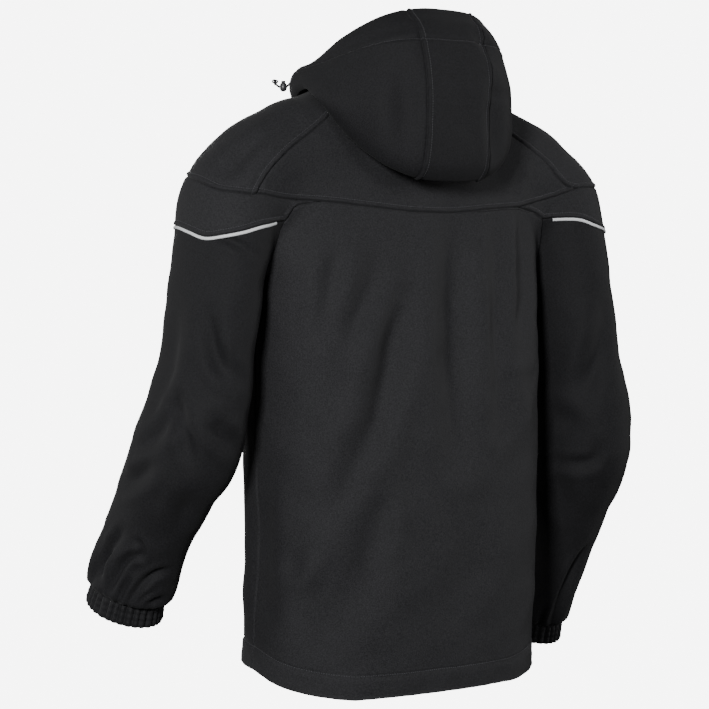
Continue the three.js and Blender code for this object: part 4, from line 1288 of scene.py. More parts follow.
def add_node(
    tree: bpy.types.NodeTree, kind: str, settings: dict | None = None, **links: object
) -> bpy.types.Node:
    """Adds a node to a tree.

    Args:
        tree: The node tree.
        kind: Blender's name of the node type.
        settings: Attributes of the node.
        **links: For each input, a value or a socket; underscores stand for spaces, n0 for number 0.

    Returns:
        The node.
    """
    node = tree.nodes.new(kind)
    for key, value in (settings or {}).items():
        setattr(node, key, value)
    for key, value in links.items():
        name = key.replace("_", " ")
        socket = node.inputs[int(name[1:])] if name[0] == "n" and name[1:].isdigit() else node.inputs[name]
        if isinstance(value, bpy.types.NodeSocket):
            tree.links.new(value, socket)
        else:
            socket.default_value = value
    return node


class Paint:
    """A material in the making."""

    def __init__(self, name: str) -> None:
        """Starts an empty material that is laid out by the object's own coordinates.

        Args:
            name: The material's name.
        """
        self.made = bpy.data.materials.new(name)
        self.made.use_nodes = True
        self.tree = self.made.node_tree
        self.tree.nodes.clear()
        self.where = self.add("ShaderNodeTexCoord").outputs["Object"]

    def add(self, kind: str, settings: dict | None = None, **links: object) -> bpy.types.Node:
        """Adds a node."""
        return add_node(self.tree, kind, settings, **links)

    def noise(self, size_mm: float, **links: float) -> bpy.types.NodeSocket:
        """Adds soft noise of a size in millimetres."""
        return self.add("ShaderNodeTexNoise", Vector=self.where, Scale=1000 / size_mm, **links).outputs["Fac"]

    def ramp(self, fac: bpy.types.NodeSocket, *ends: tuple[float, tuple]) -> bpy.types.NodeSocket:
        """Adds a ramp between two colours, each given with its place.

        Args:
            fac: What the ramp reads.
            *ends: Place and colour of both ends.

        Returns:
            The colour's socket.
        """
        node = self.add("ShaderNodeValToRGB", Fac=fac)
        for element, (place, colour) in zip(node.color_ramp.elements, ends):
            element.position, element.color = place, colour
        return node.outputs["Color"]

    def spread(self, value: bpy.types.NodeSocket, low: float, high: float) -> bpy.types.NodeSocket:
        """Spreads a share over a range."""
        return self.add("ShaderNodeMapRange", Value=value, To_Min=low, To_Max=high).outputs["Result"]

    def done(self, **links: object) -> bpy.types.Material:
        """Closes the material with its shader.

        Args:
            **links: The shader's inputs.

        Returns:
            The material.
        """
        shader = self.add("ShaderNodeBsdfPrincipled", **links)
        self.add("ShaderNodeOutputMaterial", Surface=shader.outputs[0])
        return self.made


class Finishes:
    """All materials, made once."""

    def __init__(self) -> None:
        """Makes the materials. Threads are drawn coarser than real ones so that they show."""
        self.cloth = Cloth("softshell_woven_face", "#161618", "#2a2a2c", 0.8, 1.1, 0.12, 60.0).material()
        # Darker copy of the same softshell for the sleeves and the hood: painted shade, darker than the lamps
        # alone make them
        self.painted_shade_cloth = Cloth("softshell_painted_shade", "#0e0e10", "#1e1e20", 0.8, 1.1, 0.12, 60.0).material()
        self.cuff = Cloth("elastic_gathered_cuff", "#0d0d0f", "#1e1e20", 0.7, 1.0, 0.14, 14.0).material()
        self.tape = Cloth("reflective_bead_tape", "#c4c6c8", "#dddee0", 0.42, 0.7, 0.08, 9.0, 0.0).material()
        self.thread = Cloth("polyester_sewing_thread", "#3c3c40", "#56565a", 0.6, 0.4, 0.05, 30.0).material()
        self.cord = Cloth("braided_polyester_cord", "#1d1d1f", "#2b2b2e", 0.7, 0.6, 0.2, 8.0).material()
        self.zip_tape = Cloth("woven_zip_tape", "#1b1b1d", "#242426", 0.8, 0.8, 0.1, 25.0).material()
        self.plastic = Hard("moulded_acetal", "#2a2a2d", 0.38, 0.5, 0.0).material()
        self.metal = Hard("lacquered_die_cast_zinc", "#3c3c40", 0.34, 0.8, 0.8).material()


def settle_piece(obj: bpy.types.Object, slot: str, *nodes: str) -> None:
    """Puts a piece on the jacket's body, in place of its nodes.

    Args:
        obj: The object.
        slot: Not used.
        *nodes: Nodes that it replaces.
    """
    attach(obj, BODY_NAME)
    if nodes:
        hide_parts(*nodes)
    log.info("%s: %d faces", obj.name, len(obj.data.polygons))


def dress(node: str, material: bpy.types.Material) -> None:
    """Gives a frame node its finish.

    Args:
        node: The node's name.
        material: The finish.
    """
    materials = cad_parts[node].data.materials
    materials.clear()
    materials.append(material)


class Repeat(Enum):
    """Shape that is repeated along a path."""

    STITCH = "stitch"
    TOOTH = "tooth"


def repeat_tree(shape: Repeat, material: bpy.types.Material) -> bpy.types.NodeTree:
    """Builds the node tree that lays a small shape at each point of a path mesh.

    Args:
        shape: What is repeated.
        material: Its finish.

    Returns:
        A tree with the inputs Length, Width and Height.
    """
    tree = bpy.data.node_groups.new(f"lay_{shape.value}", "GeometryNodeTree")
    face = tree.interface
    face.new_socket("Geometry", in_out="INPUT", socket_type="NodeSocketGeometry")
    for name in ("Length", "Width", "Height"):
        face.new_socket(name, in_out="INPUT", socket_type="NodeSocketFloat")
    face.new_socket("Geometry", in_out="OUTPUT", socket_type="NodeSocketGeometry")
    given = add_node(tree, "NodeGroupInput").outputs
    if shape is Repeat.STITCH:
        item = add_node(tree, "GeometryNodeMeshIcoSphere", Radius=0.5, Subdivisions=1)
    else:
        item = add_node(tree, "GeometryNodeMeshCylinder", Vertices=6, Radius=0.5, Depth=1.0)
    size = add_node(tree, "ShaderNodeCombineXYZ", X=given["Length"], Y=given["Width"], Z=given["Height"])
    along, outward = (
        add_node(tree, "GeometryNodeInputNamedAttribute", {"data_type": "FLOAT_VECTOR"}, Name=name)
        for name in ("along", "outward")
    )
    turn = add_node(
        tree,
        "FunctionNodeAxesToRotation",
        {"primary_axis": "X", "secondary_axis": "Z"},
        Primary_Axis=along.outputs["Attribute"],
        Secondary_Axis=outward.outputs["Attribute"],
    )
    lay = add_node(
        tree,
        "GeometryNodeInstanceOnPoints",
        Points=given["Geometry"],
        Instance=item.outputs["Mesh"],
        Rotation=turn.outputs["Rotation"],
        Scale=size.outputs["Vector"],
    )
    real = add_node(tree, "GeometryNodeRealizeInstances", Geometry=lay.outputs["Instances"])
    smooth = add_node(tree, "GeometryNodeSetShadeSmooth", Geometry=real.outputs["Geometry"])
    last = add_node(tree, "GeometryNodeSetMaterial", Geometry=smooth.outputs["Geometry"], Material=material)
    add_node(tree, "NodeGroupOutput", Geometry=last.outputs["Geometry"])
    return tree


def lay_along(
    name: str,
    points: Array,
    along: Array,
    outward: Array,
    size: tuple[float, float, float],
    tree: bpy.types.NodeTree,
) -> bpy.types.Object:
    """Lays a tree's shape at each point and turns the result into a plain mesh.

    Args:
        name: The piece's name.
        points: Places in millimetres.
        along: Direction of each shape's length.
        outward: Direction of each shape's height.
        size: Length, width and height in millimetres.
        tree: Node tree from repeat_tree.

    Returns:
        The piece.
    """
    carrier = make_object(name + "_path", points, [])
    for key, values in (("along", along), ("outward", outward)):
        data = carrier.data.attributes.new(key, "FLOAT_VECTOR", "POINT")
        data.data.foreach_set("vector", np.asarray(values, np.float32).ravel())
    modifier = carrier.modifiers.new("lay", "NODES")
    modifier.node_group = tree
    sockets = {s.name: s.identifier for s in tree.interface.items_tree if s.in_out == "INPUT"}
    for key, value in zip(("Length", "Width", "Height"), size):
        modifier[sockets[key]] = value * MM
    seen = carrier.evaluated_get(bpy.context.evaluated_depsgraph_get())
    mesh = bpy.data.meshes.new_from_object(seen)
    mesh.name = name
    obj = link_object(name, mesh)
    bpy.data.objects.remove(carrier)
    return obj


@dataclass
class Sewing:
    """Collects stitch lines and lays their stitches."""

    pitch: float = 3.1  # one stitch to the next
    size: tuple[float, float, float] = (2.5, 0.62, 0.5)  # length, width and height
    look_ahead: float = 0.7  # a stitch points to the line's place this far on
    proud: float = 0.02  # keeps its middle just off the cloth

    def __post_init__(self) -> None:
        """Starts empty."""
        self.lines: dict[str, list[tuple[Array, Array]]] = {}

    def on_grid(self, piece: str, grid: Array, facings: Array, rows: Array, cols: Array) -> None:
        """Notes a line on a piece.

        Args:
            piece: The piece's node.
            grid: Its folded cloth.
            facings: Outward directions.
            rows: Grid rows of the line's places, which may be fractions.
            cols: Grid columns of the line's places.
        """
        if len(rows) > 1:
            line = (read_grid(grid, rows, cols), unit(read_grid(facings, rows, cols)))
            self.lines.setdefault(piece, []).append(line)

    def build(self, tree: bpy.types.NodeTree) -> None:
        """Lays the stitches of every piece.

        Args:
            tree: Node tree of one stitch.
        """
        for piece, lines in self.lines.items():
            spots, ways, outs = [], [], []
            for line, facings in lines:
                along = lengths_of(line)
                want = np.arange(0.5 * self.pitch, along[-1], self.pitch)
                at = read_line(line, along, want)
                out = unit(read_line(facings, along, want))
                spots.append(at + out * self.proud)
                ways.append(unit(read_line(line, along, want + self.look_ahead) - at + 1e-6))
                outs.append(out)
            parts = [np.concatenate(part) for part in (spots, ways, outs)]
            settle_piece(lay_along("stitches_" + piece, *parts, self.size, tree), "softshell")


def read_grid(grid: Array, rows: Array, cols: Array) -> Array:
    """Reads a grid between its points.

    Args:
        grid: The grid.
        rows: Row of each place.
        cols: Column of each place.

    Returns:
        What the grid holds there.
    """
    rows = np.clip(rows, 0, grid.shape[0] - 1.0001)
    cols = np.clip(cols, 0, grid.shape[1] - 1.0001)
    r, c = rows.astype(int), cols.astype(int)
    v, u = (rows - r)[:, None], (cols - c)[:, None]
    top = grid[r, c] * (1 - u) + grid[r, c + 1] * u
    low = grid[r + 1, c] * (1 - u) + grid[r + 1, c + 1] * u
    return top * (1 - v) + low * v


def row_line(grid: Array, line: Array, offset: float, from_end: bool) -> tuple[Array, Array]:
    """Finds the places at an offset from a seam along a grid's first or last row.

    Args:
        grid: The smooth cloth.
        line: The seam.
        offset: Distance from it.
        from_end: Whether it is the last row's seam.

    Returns:
        Rows and columns of the places.
    """
    rows, cols = grid.shape[:2]
    span = min(rows, 26)
    index = rows - 1 - np.arange(span) if from_end else np.arange(span)
    d = distance_to(grid[index].reshape(-1, 3), line).reshape(span, cols)
    found = np.clip(np.argmax(d > offset, axis=0), 1, span - 1)
    c = np.arange(cols)
    low, high = d[found - 1, c], d[found, c]
    part = found - 1 + np.clip((offset - low) / np.maximum(high - low, 1e-6), 0, 1)
    good = (d.max(axis=0) > offset) & (d[0] < offset)
    row = rows - 1 - part if from_end else part
    return row[good], c[good].astype(float)


def col_line(grid: Array, line: Array, offset: float, from_end: bool) -> tuple[Array, Array]:
    """Finds the places at an offset from a seam along a grid's first or last column."""
    return row_line(grid.transpose(1, 0, 2), line, offset, from_end)[::-1]


@dataclass
class Panel:
    """A piece of the body, cut between four seams."""

    node: str
    name: str
    seams: tuple[Array, Array, Array, Array]  # top, bottom, left and right
    shares: tuple[Array, Array]  # across and down
    edges: list[Edge]
    flat: tuple[float, float]
    area: float
    calm: float = 1.0

    def build(self, finishes: Finishes, sewing: Sewing) -> None:
        """Builds the piece and notes its stitching.

        Args:
            finishes: Materials.
            sewing: Collects the stitching.
        """
        _, bottom, _, right = self.seams
        grid = patch(self.seams, *self.shares, body_cloth)
        facings = outward_facings(grid, body_cloth)
        folded = fold_cloth(grid, facings, "body", self.edges, self.calm)
        hemmed = any(edge.rim is Rim.HEM for edge in self.edges)
        obj = wall(self.name, folded, facings, finishes.cloth, round_ends=(False, hemmed))
        settle_piece(obj, "softshell", self.node)
        for line, rim in self.edges:
            if rim is not Rim.SEAM:
                offset = HEM_STITCH if rim is Rim.HEM else STITCH_OFFSET
                find, from_end = (row_line, True) if line is bottom else (col_line, line is right)
                sewing.on_grid(self.node, folded, facings, *find(grid, line, offset, from_end))


@dataclass
class Back:
    """Yoke over the shoulder blades and the long back panel."""

    step: float = 4.6
    yoke_z: float = -148.0  # yoke seam at the middle of the back

    def build(self, finishes: Finishes, sewing: Sewing) -> Array:
        """Builds both pieces and notes their stitching.

        Args:
            finishes: Materials.
            sewing: Collects the stitching.

        Returns:
            The back's hem.
        """
        left, right = SEAMS[Side.LEFT], SEAMS[Side.RIGHT]
        middle = settle(np.array([[0, 98, self.yoke_z]]), body_cloth)[0]
        ends = [left.tip_to_raglan[0], middle, right.tip_to_raglan[0]]
        yoke_seam = seam(np.array(ends), 160, body_cloth)
        top = join(left.neck_back[::-1], right.neck_back)
        low = join(left.tip_to_raglan[::-1], yoke_seam, right.tip_to_raglan)
        Panel(
            "back_yoke",
            "back_yoke_cloth",
            (top, low, left.raglan_back, right.raglan_back),
            (stops(lengths_of(low)[-1], self.step), stops(lengths_of(left.raglan_back)[-1], self.step)),
            [
                Edge(top, Rim.SEAM),
                Edge(low, Rim.STITCHED),
                Edge(left.raglan_back, Rim.SEAM),
                Edge(right.raglan_back, Rim.SEAM),
            ],
            flat=(0.50, 0.20),
            area=0.056,
        ).build(finishes, sewing)

        sides = [join(s.armhole_back, s.side_seam) for s in (left, right)]
        top = join(left.tip_to_armhole[::-1], yoke_seam, right.tip_to_armhole)
        hem = hem_line(sides[0][-1], sides[1][-1], 160, 1)
        sides[0][-1], sides[1][-1] = hem[0], hem[-1]
        seams = [Edge(s.side_seam, Rim.SEAM) for s in (left, right)]
        Panel(
            "back_panel",
            "back_panel_cloth",
            (top, hem, *sides),
            (stops(lengths_of(hem)[-1], self.step), stops(lengths_of(sides[0])[-1], self.step, TURN_UP)),
            [Edge(top, Rim.SEAM), Edge(hem, Rim.HEM), *seams],
            flat=(0.53, 0.62),
            area=0.31,
        ).build(finishes, sewing)
        return hem


@dataclass
class Shoulder:
    """One side's shoulder saddle and the wedge band below it."""

    side: Side
    step: float = 4.4
    blunt: float = 4.0  # cut off the band's sharp tip
    band_high: float = 60.0
    band_step: float = 3.4

    def build(self, finishes: Finishes, sewing: Sewing) -> None:
        """Builds both pieces and notes their stitching.

        Args:
            finishes: Materials.
            sewing: Collects the stitching.
        """
        s = SEAMS[self.side]
        name = self.side.value
        stitched = [Edge(line, Rim.STITCHED) for line in (s.cap, s.raglan_back, s.raglan_front)]
        Panel(
            "shoulder_" + name,
            "shoulder_cloth_" + name,
            (s.neck_side, s.cap, s.raglan_back, s.raglan_front),
            (stops(lengths_of(s.cap)[-1], self.step), stops(lengths_of(s.raglan_back)[-1], self.step)),
            [Edge(s.neck_side, Rim.SEAM), *stitched],
            flat=(0.26, 0.25),
            area=0.040,
        ).build(finishes, sewing)

        upper, lower = (
            sample(line, np.linspace(self.blunt / lengths_of(line)[-1], 1, 300))
            for line in (join(s.tip_to_raglan, s.cap), join(s.tip_to_armhole, s.piping))
        )
        Panel(
            "band_" + name,
            "band_cloth_" + name,
            (upper, lower, np.linspace(upper[0], lower[0], 40), s.band_front),
            (stops(lengths_of(lower)[-1], self.step), stops(self.band_high, self.band_step)),
            [Edge(upper, Rim.SEAM), Edge(lower, Rim.STITCHED), Edge(s.band_front, Rim.SEAM)],
            flat=(0.40, 0.09),
            area=0.017,
            calm=0.6,
        ).build(finishes, sewing)


@dataclass
class Front:
    """One front panel, from the neck seam to the hem."""

    side: Side
    step: float = 6.5

    def build(self, finishes: Finishes, sewing: Sewing, hem: Array) -> Array:
        """Builds the panel.

        Args:
            finishes: Materials.
            sewing: Collects the stitching.
            hem: The back's hem, whose end this hem meets.

        Returns:
            The line of the panel's zip edge.
        """
        s = SEAMS[self.side]
        name = self.side.value
        zip_x = self.side.sign * ZIP_HALF_WIDTH
        edge = join(s.raglan_front, s.band_front, s.armhole_front, s.side_seam)
        start = edge[-1] = hem[0] if self.side is Side.LEFT else hem[-1]
        foot = settle(np.array([[zip_x, -110, HEM_FRONT]]), body_cloth)[0]
        line = s.neck_front[-1] + (foot - s.neck_front[-1]) * np.linspace(0, 1, 121)[:, None]
        for _ in range(4):
            line = settle(line, body_cloth)
            line[:, 0] = zip_x
        line[-1, 2] = HEM_FRONT
        front_hem = hem_line(start, line[-1], 90, -1)
        front_hem[0], front_hem[-1] = start, line[-1]
        top = s.neck_front.copy()
        top[-1] = line[0]
        Panel(
            "front_" + name,
            "front_cloth_" + name,
            (top, front_hem, edge, line),
            (stops(lengths_of(front_hem)[-1], self.step), stops(lengths_of(edge)[-1], self.step, TURN_UP)),
            [
                Edge(top, Rim.SEAM),
                Edge(front_hem, Rim.HEM),
                Edge(join(s.raglan_front, s.band_front), Rim.SEAM),
                Edge(s.side_seam, Rim.SEAM),
                Edge(line, Rim.STITCHED),
            ],
            flat=(0.30, 0.70),
            area=0.17,
        ).build(finishes, sewing)
        return line


@dataclass
class Sleeve:
    """One sleeve with its piping and gathered cuff."""

    side: Side
    around: int = 128
    step: float = 4.0
    coarse_every: int = 4  # every so many of the places round the sleeve are evened out
    coarse_step: float = 22.0
    piping_height: float = 4.0
    piping_thick: float = 1.2
    piping_trim: float = 14.0  # the piping starts this far from the armhole
    cuff_height: float = 24.0
    cuff_wall: float = 2.4
    cuff_flare: float = 2.4
    cuff_gap: float = 0.3  # between sleeve and cuff
    gathers: int = 32
    gather_depth: float = 4.6
    gather_reach: float = 15.0  # how far a gather runs up the sleeve
    pleat: float = 2.4

    def build(self, finishes: Finishes) -> None:
        """Builds the sleeve, the piping and the cuff.

        Args:
            finishes: Materials.
        """
        self.arm, self.field, self.name = ARM[self.side], sleeve_cloth(self.side), self.side.value
        self.sleeve(finishes)
        self.piping(finishes)
        self.cuff(finishes)

    def turns_of(self, p: Array, s: Array) -> Array:
        """Returns the turns round the arm of places whose lengths down the arm are s."""
        middle, _, out, rear, wide, deep = self.arm.at(s)
        return np.arctan2(dot(p - middle, rear) / deep, dot(p - middle, out) / wide)

    def sleeve(self, finishes: Finishes) -> None:
        """Builds the sleeve from the piping seam and the armhole to the cuff.

        Args:
            finishes: Materials.
        """
        s, arm, share = SEAMS[self.side], self.arm, np.arange(self.around) / self.around
        ring = sample(join(s.piping, s.armhole_front, s.armhole_back[::-1]), share)
        start = arm.nearest(ring)
        turn = np.unwrap(self.turns_of(ring, start))
        reach = arm.length - start.mean()
        close = np.array([0, 0.6, 1.3, 2.2, 3.6, 5.2, 7.0, 9.6, 12.5])
        last = np.array([18, 15, 12.5, 10, 8, 6, 4.5, 3, 1.5, 0])
        count = round((reach - close[-1] - last[0]) / self.step)
        between = np.linspace(close[-1], reach - last[0], count + 1)[1:-1]
        shares = np.concatenate([close, between, reach - last]) / reach
        even = turn.mean() + np.sign(turn[-1] - turn[0]) * 2 * np.pi * (share - 0.5)
        grid = self.tubing(ring, start, turn, even, shares)
        places = grid.reshape(-1, 3)
        s_at = arm.nearest(places)
        turns = self.turns_of(places, np.minimum(s_at, arm.length - 0.01)).reshape(grid.shape[:2])
        facings = outward_facings(grid, self.field)
        folded = fold_cloth(grid, facings, self.name, [Edge(np.concatenate([ring, ring[:1]]), Rim.SEAM)])
        folded += facings * self.gather(s_at.reshape(grid.shape[:2]), turns)[..., None]
        folded[0] += unit(grid[1] - grid[0]) * 0.03
        folded[-1] = grid[-1] + unit(grid[-2] - grid[-1]) * 0.15
        # The sleeve takes the darker copy of the softshell: painted shade
        obj = wall("sleeve_cloth_" + self.name, folded, facings, finishes.painted_shade_cloth, wrap=True)
        settle_piece(obj, "softshell", "sleeve_" + self.name)

    def tubing(self, ring: Array, start: Array, turn: Array, even: Array, shares: Array) -> Array:
        """Returns the sleeve's smooth grid, evened out coarsely and read finely.

        Args:
            ring: Seam at the sleeve's head.
            start: How far down the arm each place of the ring is.
            turn: Its turns round the arm.
            even: Evenly spread turns, as at the cuff.
            shares: Shares of the way down for the rows.

        Returns:
            The grid, rows by places round by 3.
        """
        arm, every = self.arm, self.coarse_every
        rows = round((arm.length - start.mean()) / self.coarse_step)
        down = np.linspace(0, 1, rows + 1)[:, None]
        s_at = start[None, ::every] * (1 - down) + (arm.length - 0.01) * down
        ease = smooth_step(0, 0.3, down)
        flat = (turn[None, ::every] * (1 - ease) + even[None, ::every] * ease).ravel()
        middle, _, out, rear, wide, deep = arm.at(s_at.ravel())
        grid = middle + out * (wide * np.cos(flat))[:, None] + rear * (deep * np.sin(flat))[:, None]
        grid = grid.reshape(rows + 1, -1, 3)
        grid[0] = ring[::every]
        for _ in range(14):
            for _ in range(3):
                inner = grid[1:-1]
                mean = grid[:-2] + grid[2:] + np.roll(inner, 1, axis=1) + np.roll(inner, -1, axis=1)
                grid[1:-1] += 0.6 * (mean / 4 - inner)
            grid[1:-1] = settle_grid(grid[1:-1], self.field, 5)
        looped = np.concatenate([grid[:, -3:], grid, grid[:, :4]], axis=1)
        last = looped.shape[1] - 1
        across = (3 + np.arange(self.around) / every) / last
        fine = np.einsum("ri,cj,ijk->rck", smooth_weights(shares, rows), smooth_weights(across, last), looped)
        fine += (ring - fine[0])[None] * (np.maximum(0, 1 - shares * rows / 3) ** 2)[:, None, None]
        fine[1:-1] = settle_grid(fine[1:-1], self.field)
        return fine

    def gather(self, s_at: Array, turns: Array) -> Array:
        """Returns the lift of the small pleats above the cuff.

        Args:
            s_at: Lengths down the arm.
            turns: Turns round it.

        Returns:
            The lift in millimetres.
        """
        rng = np.random.default_rng(3 if self.side is Side.LEFT else 4)
        up = self.arm.length - s_at
        lift = np.zeros_like(s_at)
        for k in range(self.gathers):
            angle = 2 * np.pi * (k + 0.5 * rng.uniform(-0.5, 0.5)) / self.gathers
            reach = self.gather_reach * rng.uniform(0.5, 1.8)
            deep = self.pleat * rng.uniform(0.5, 1.3)
            off = (np.mod(turns - angle + np.pi, 2 * np.pi) - np.pi) / (0.55 * np.pi / self.gathers)
            lift -= deep * np.exp(-(off**2)) * np.exp(-up / reach) * smooth_step(0, 2.5, up)
        return lift + 0.5 * np.exp(-up / self.gather_reach) * smooth_step(0, 4, up)

    def piping(self, finishes: Finishes) -> None:
        """Builds the rounded piping laid over the top of the sleeve.

        Args:
            finishes: Materials.
        """
        s = SEAMS[self.side]
        trim = self.piping_trim / lengths_of(s.piping)[-1]
        line = sample(s.piping, np.linspace(trim, 1 - trim, 150))
        outs = unit(slope_of(self.field, line))
        down = unit(np.cross(unit(np.gradient(line, axis=0)), outs))
        if down[75, 2] > 0:
            down = -down
        rows = []
        for share in np.linspace(0, 1, 9):
            bulge = self.piping_thick * (4 * share * (1 - share)) ** 0.5
            rows.append(line + down * (self.piping_height * share) + outs * (0.25 + bulge))
        facings = np.stack([outs] * len(rows))
        obj = wall("piping_tape_" + self.name, np.stack(rows), facings, finishes.tape, thick=0.8)
        settle_piece(obj, "reflective_piping", "piping_" + self.name)

    def cuff(self, finishes: Finishes) -> None:
        """Builds the gathered elastic cuff.

        Args:
            finishes: Materials.
        """
        arm = self.arm
        end = np.array([arm.length - 0.01])
        middle = arm.middle(np.array([arm.length]))[0]
        tangent, out, rear = (value[0] for value in arm.at(end - 4)[1:4])
        wide, deep = (value[0] for value in arm.at(end)[4:])
        turn = 2 * np.pi * np.arange(8 * self.gathers) / (8 * self.gathers)
        rng = np.random.default_rng(8)
        waves = 0.35 * np.sin(5 * turn + rng.uniform(0, 6)) + 0.3 * np.sin(9 * turn + rng.uniform(0, 6))
        crest = np.abs(np.cos(self.gathers / 2 * turn + waves))
        ribs = self.gather_depth * (crest**0.7 - 0.7)
        rows = []
        for share in np.linspace(0, 1, 22):
            d = abs(share - 0.5) * self.cuff_height
            row = 0.25 * np.cos(2 * np.pi * 3 * share) * -1
            soft = 1 - 0.35 * math.exp(-((self.cuff_height / 2 - d) / 2.2) ** 2)
            radius = self.cuff_flare * share + ribs * soft + row
            spot = middle + tangent * (self.cuff_gap + self.cuff_height * share)
            side = rear * ((deep + radius) * np.sin(turn))[:, None]
            rows.append(spot + out * ((wide + radius) * np.cos(turn))[:, None] + side)
        grid = np.stack(rows)
        d = grid - middle
        d -= tangent * dot(d, tangent)[..., None]
        name, both = "cuff_cloth_" + self.name, (True, True)
        obj = wall(name, grid, unit(d), finishes.cuff, self.cuff_wall, wrap=True, round_ends=both)
        settle_piece(obj, "cuff_elastic", "cuff_" + self.name)


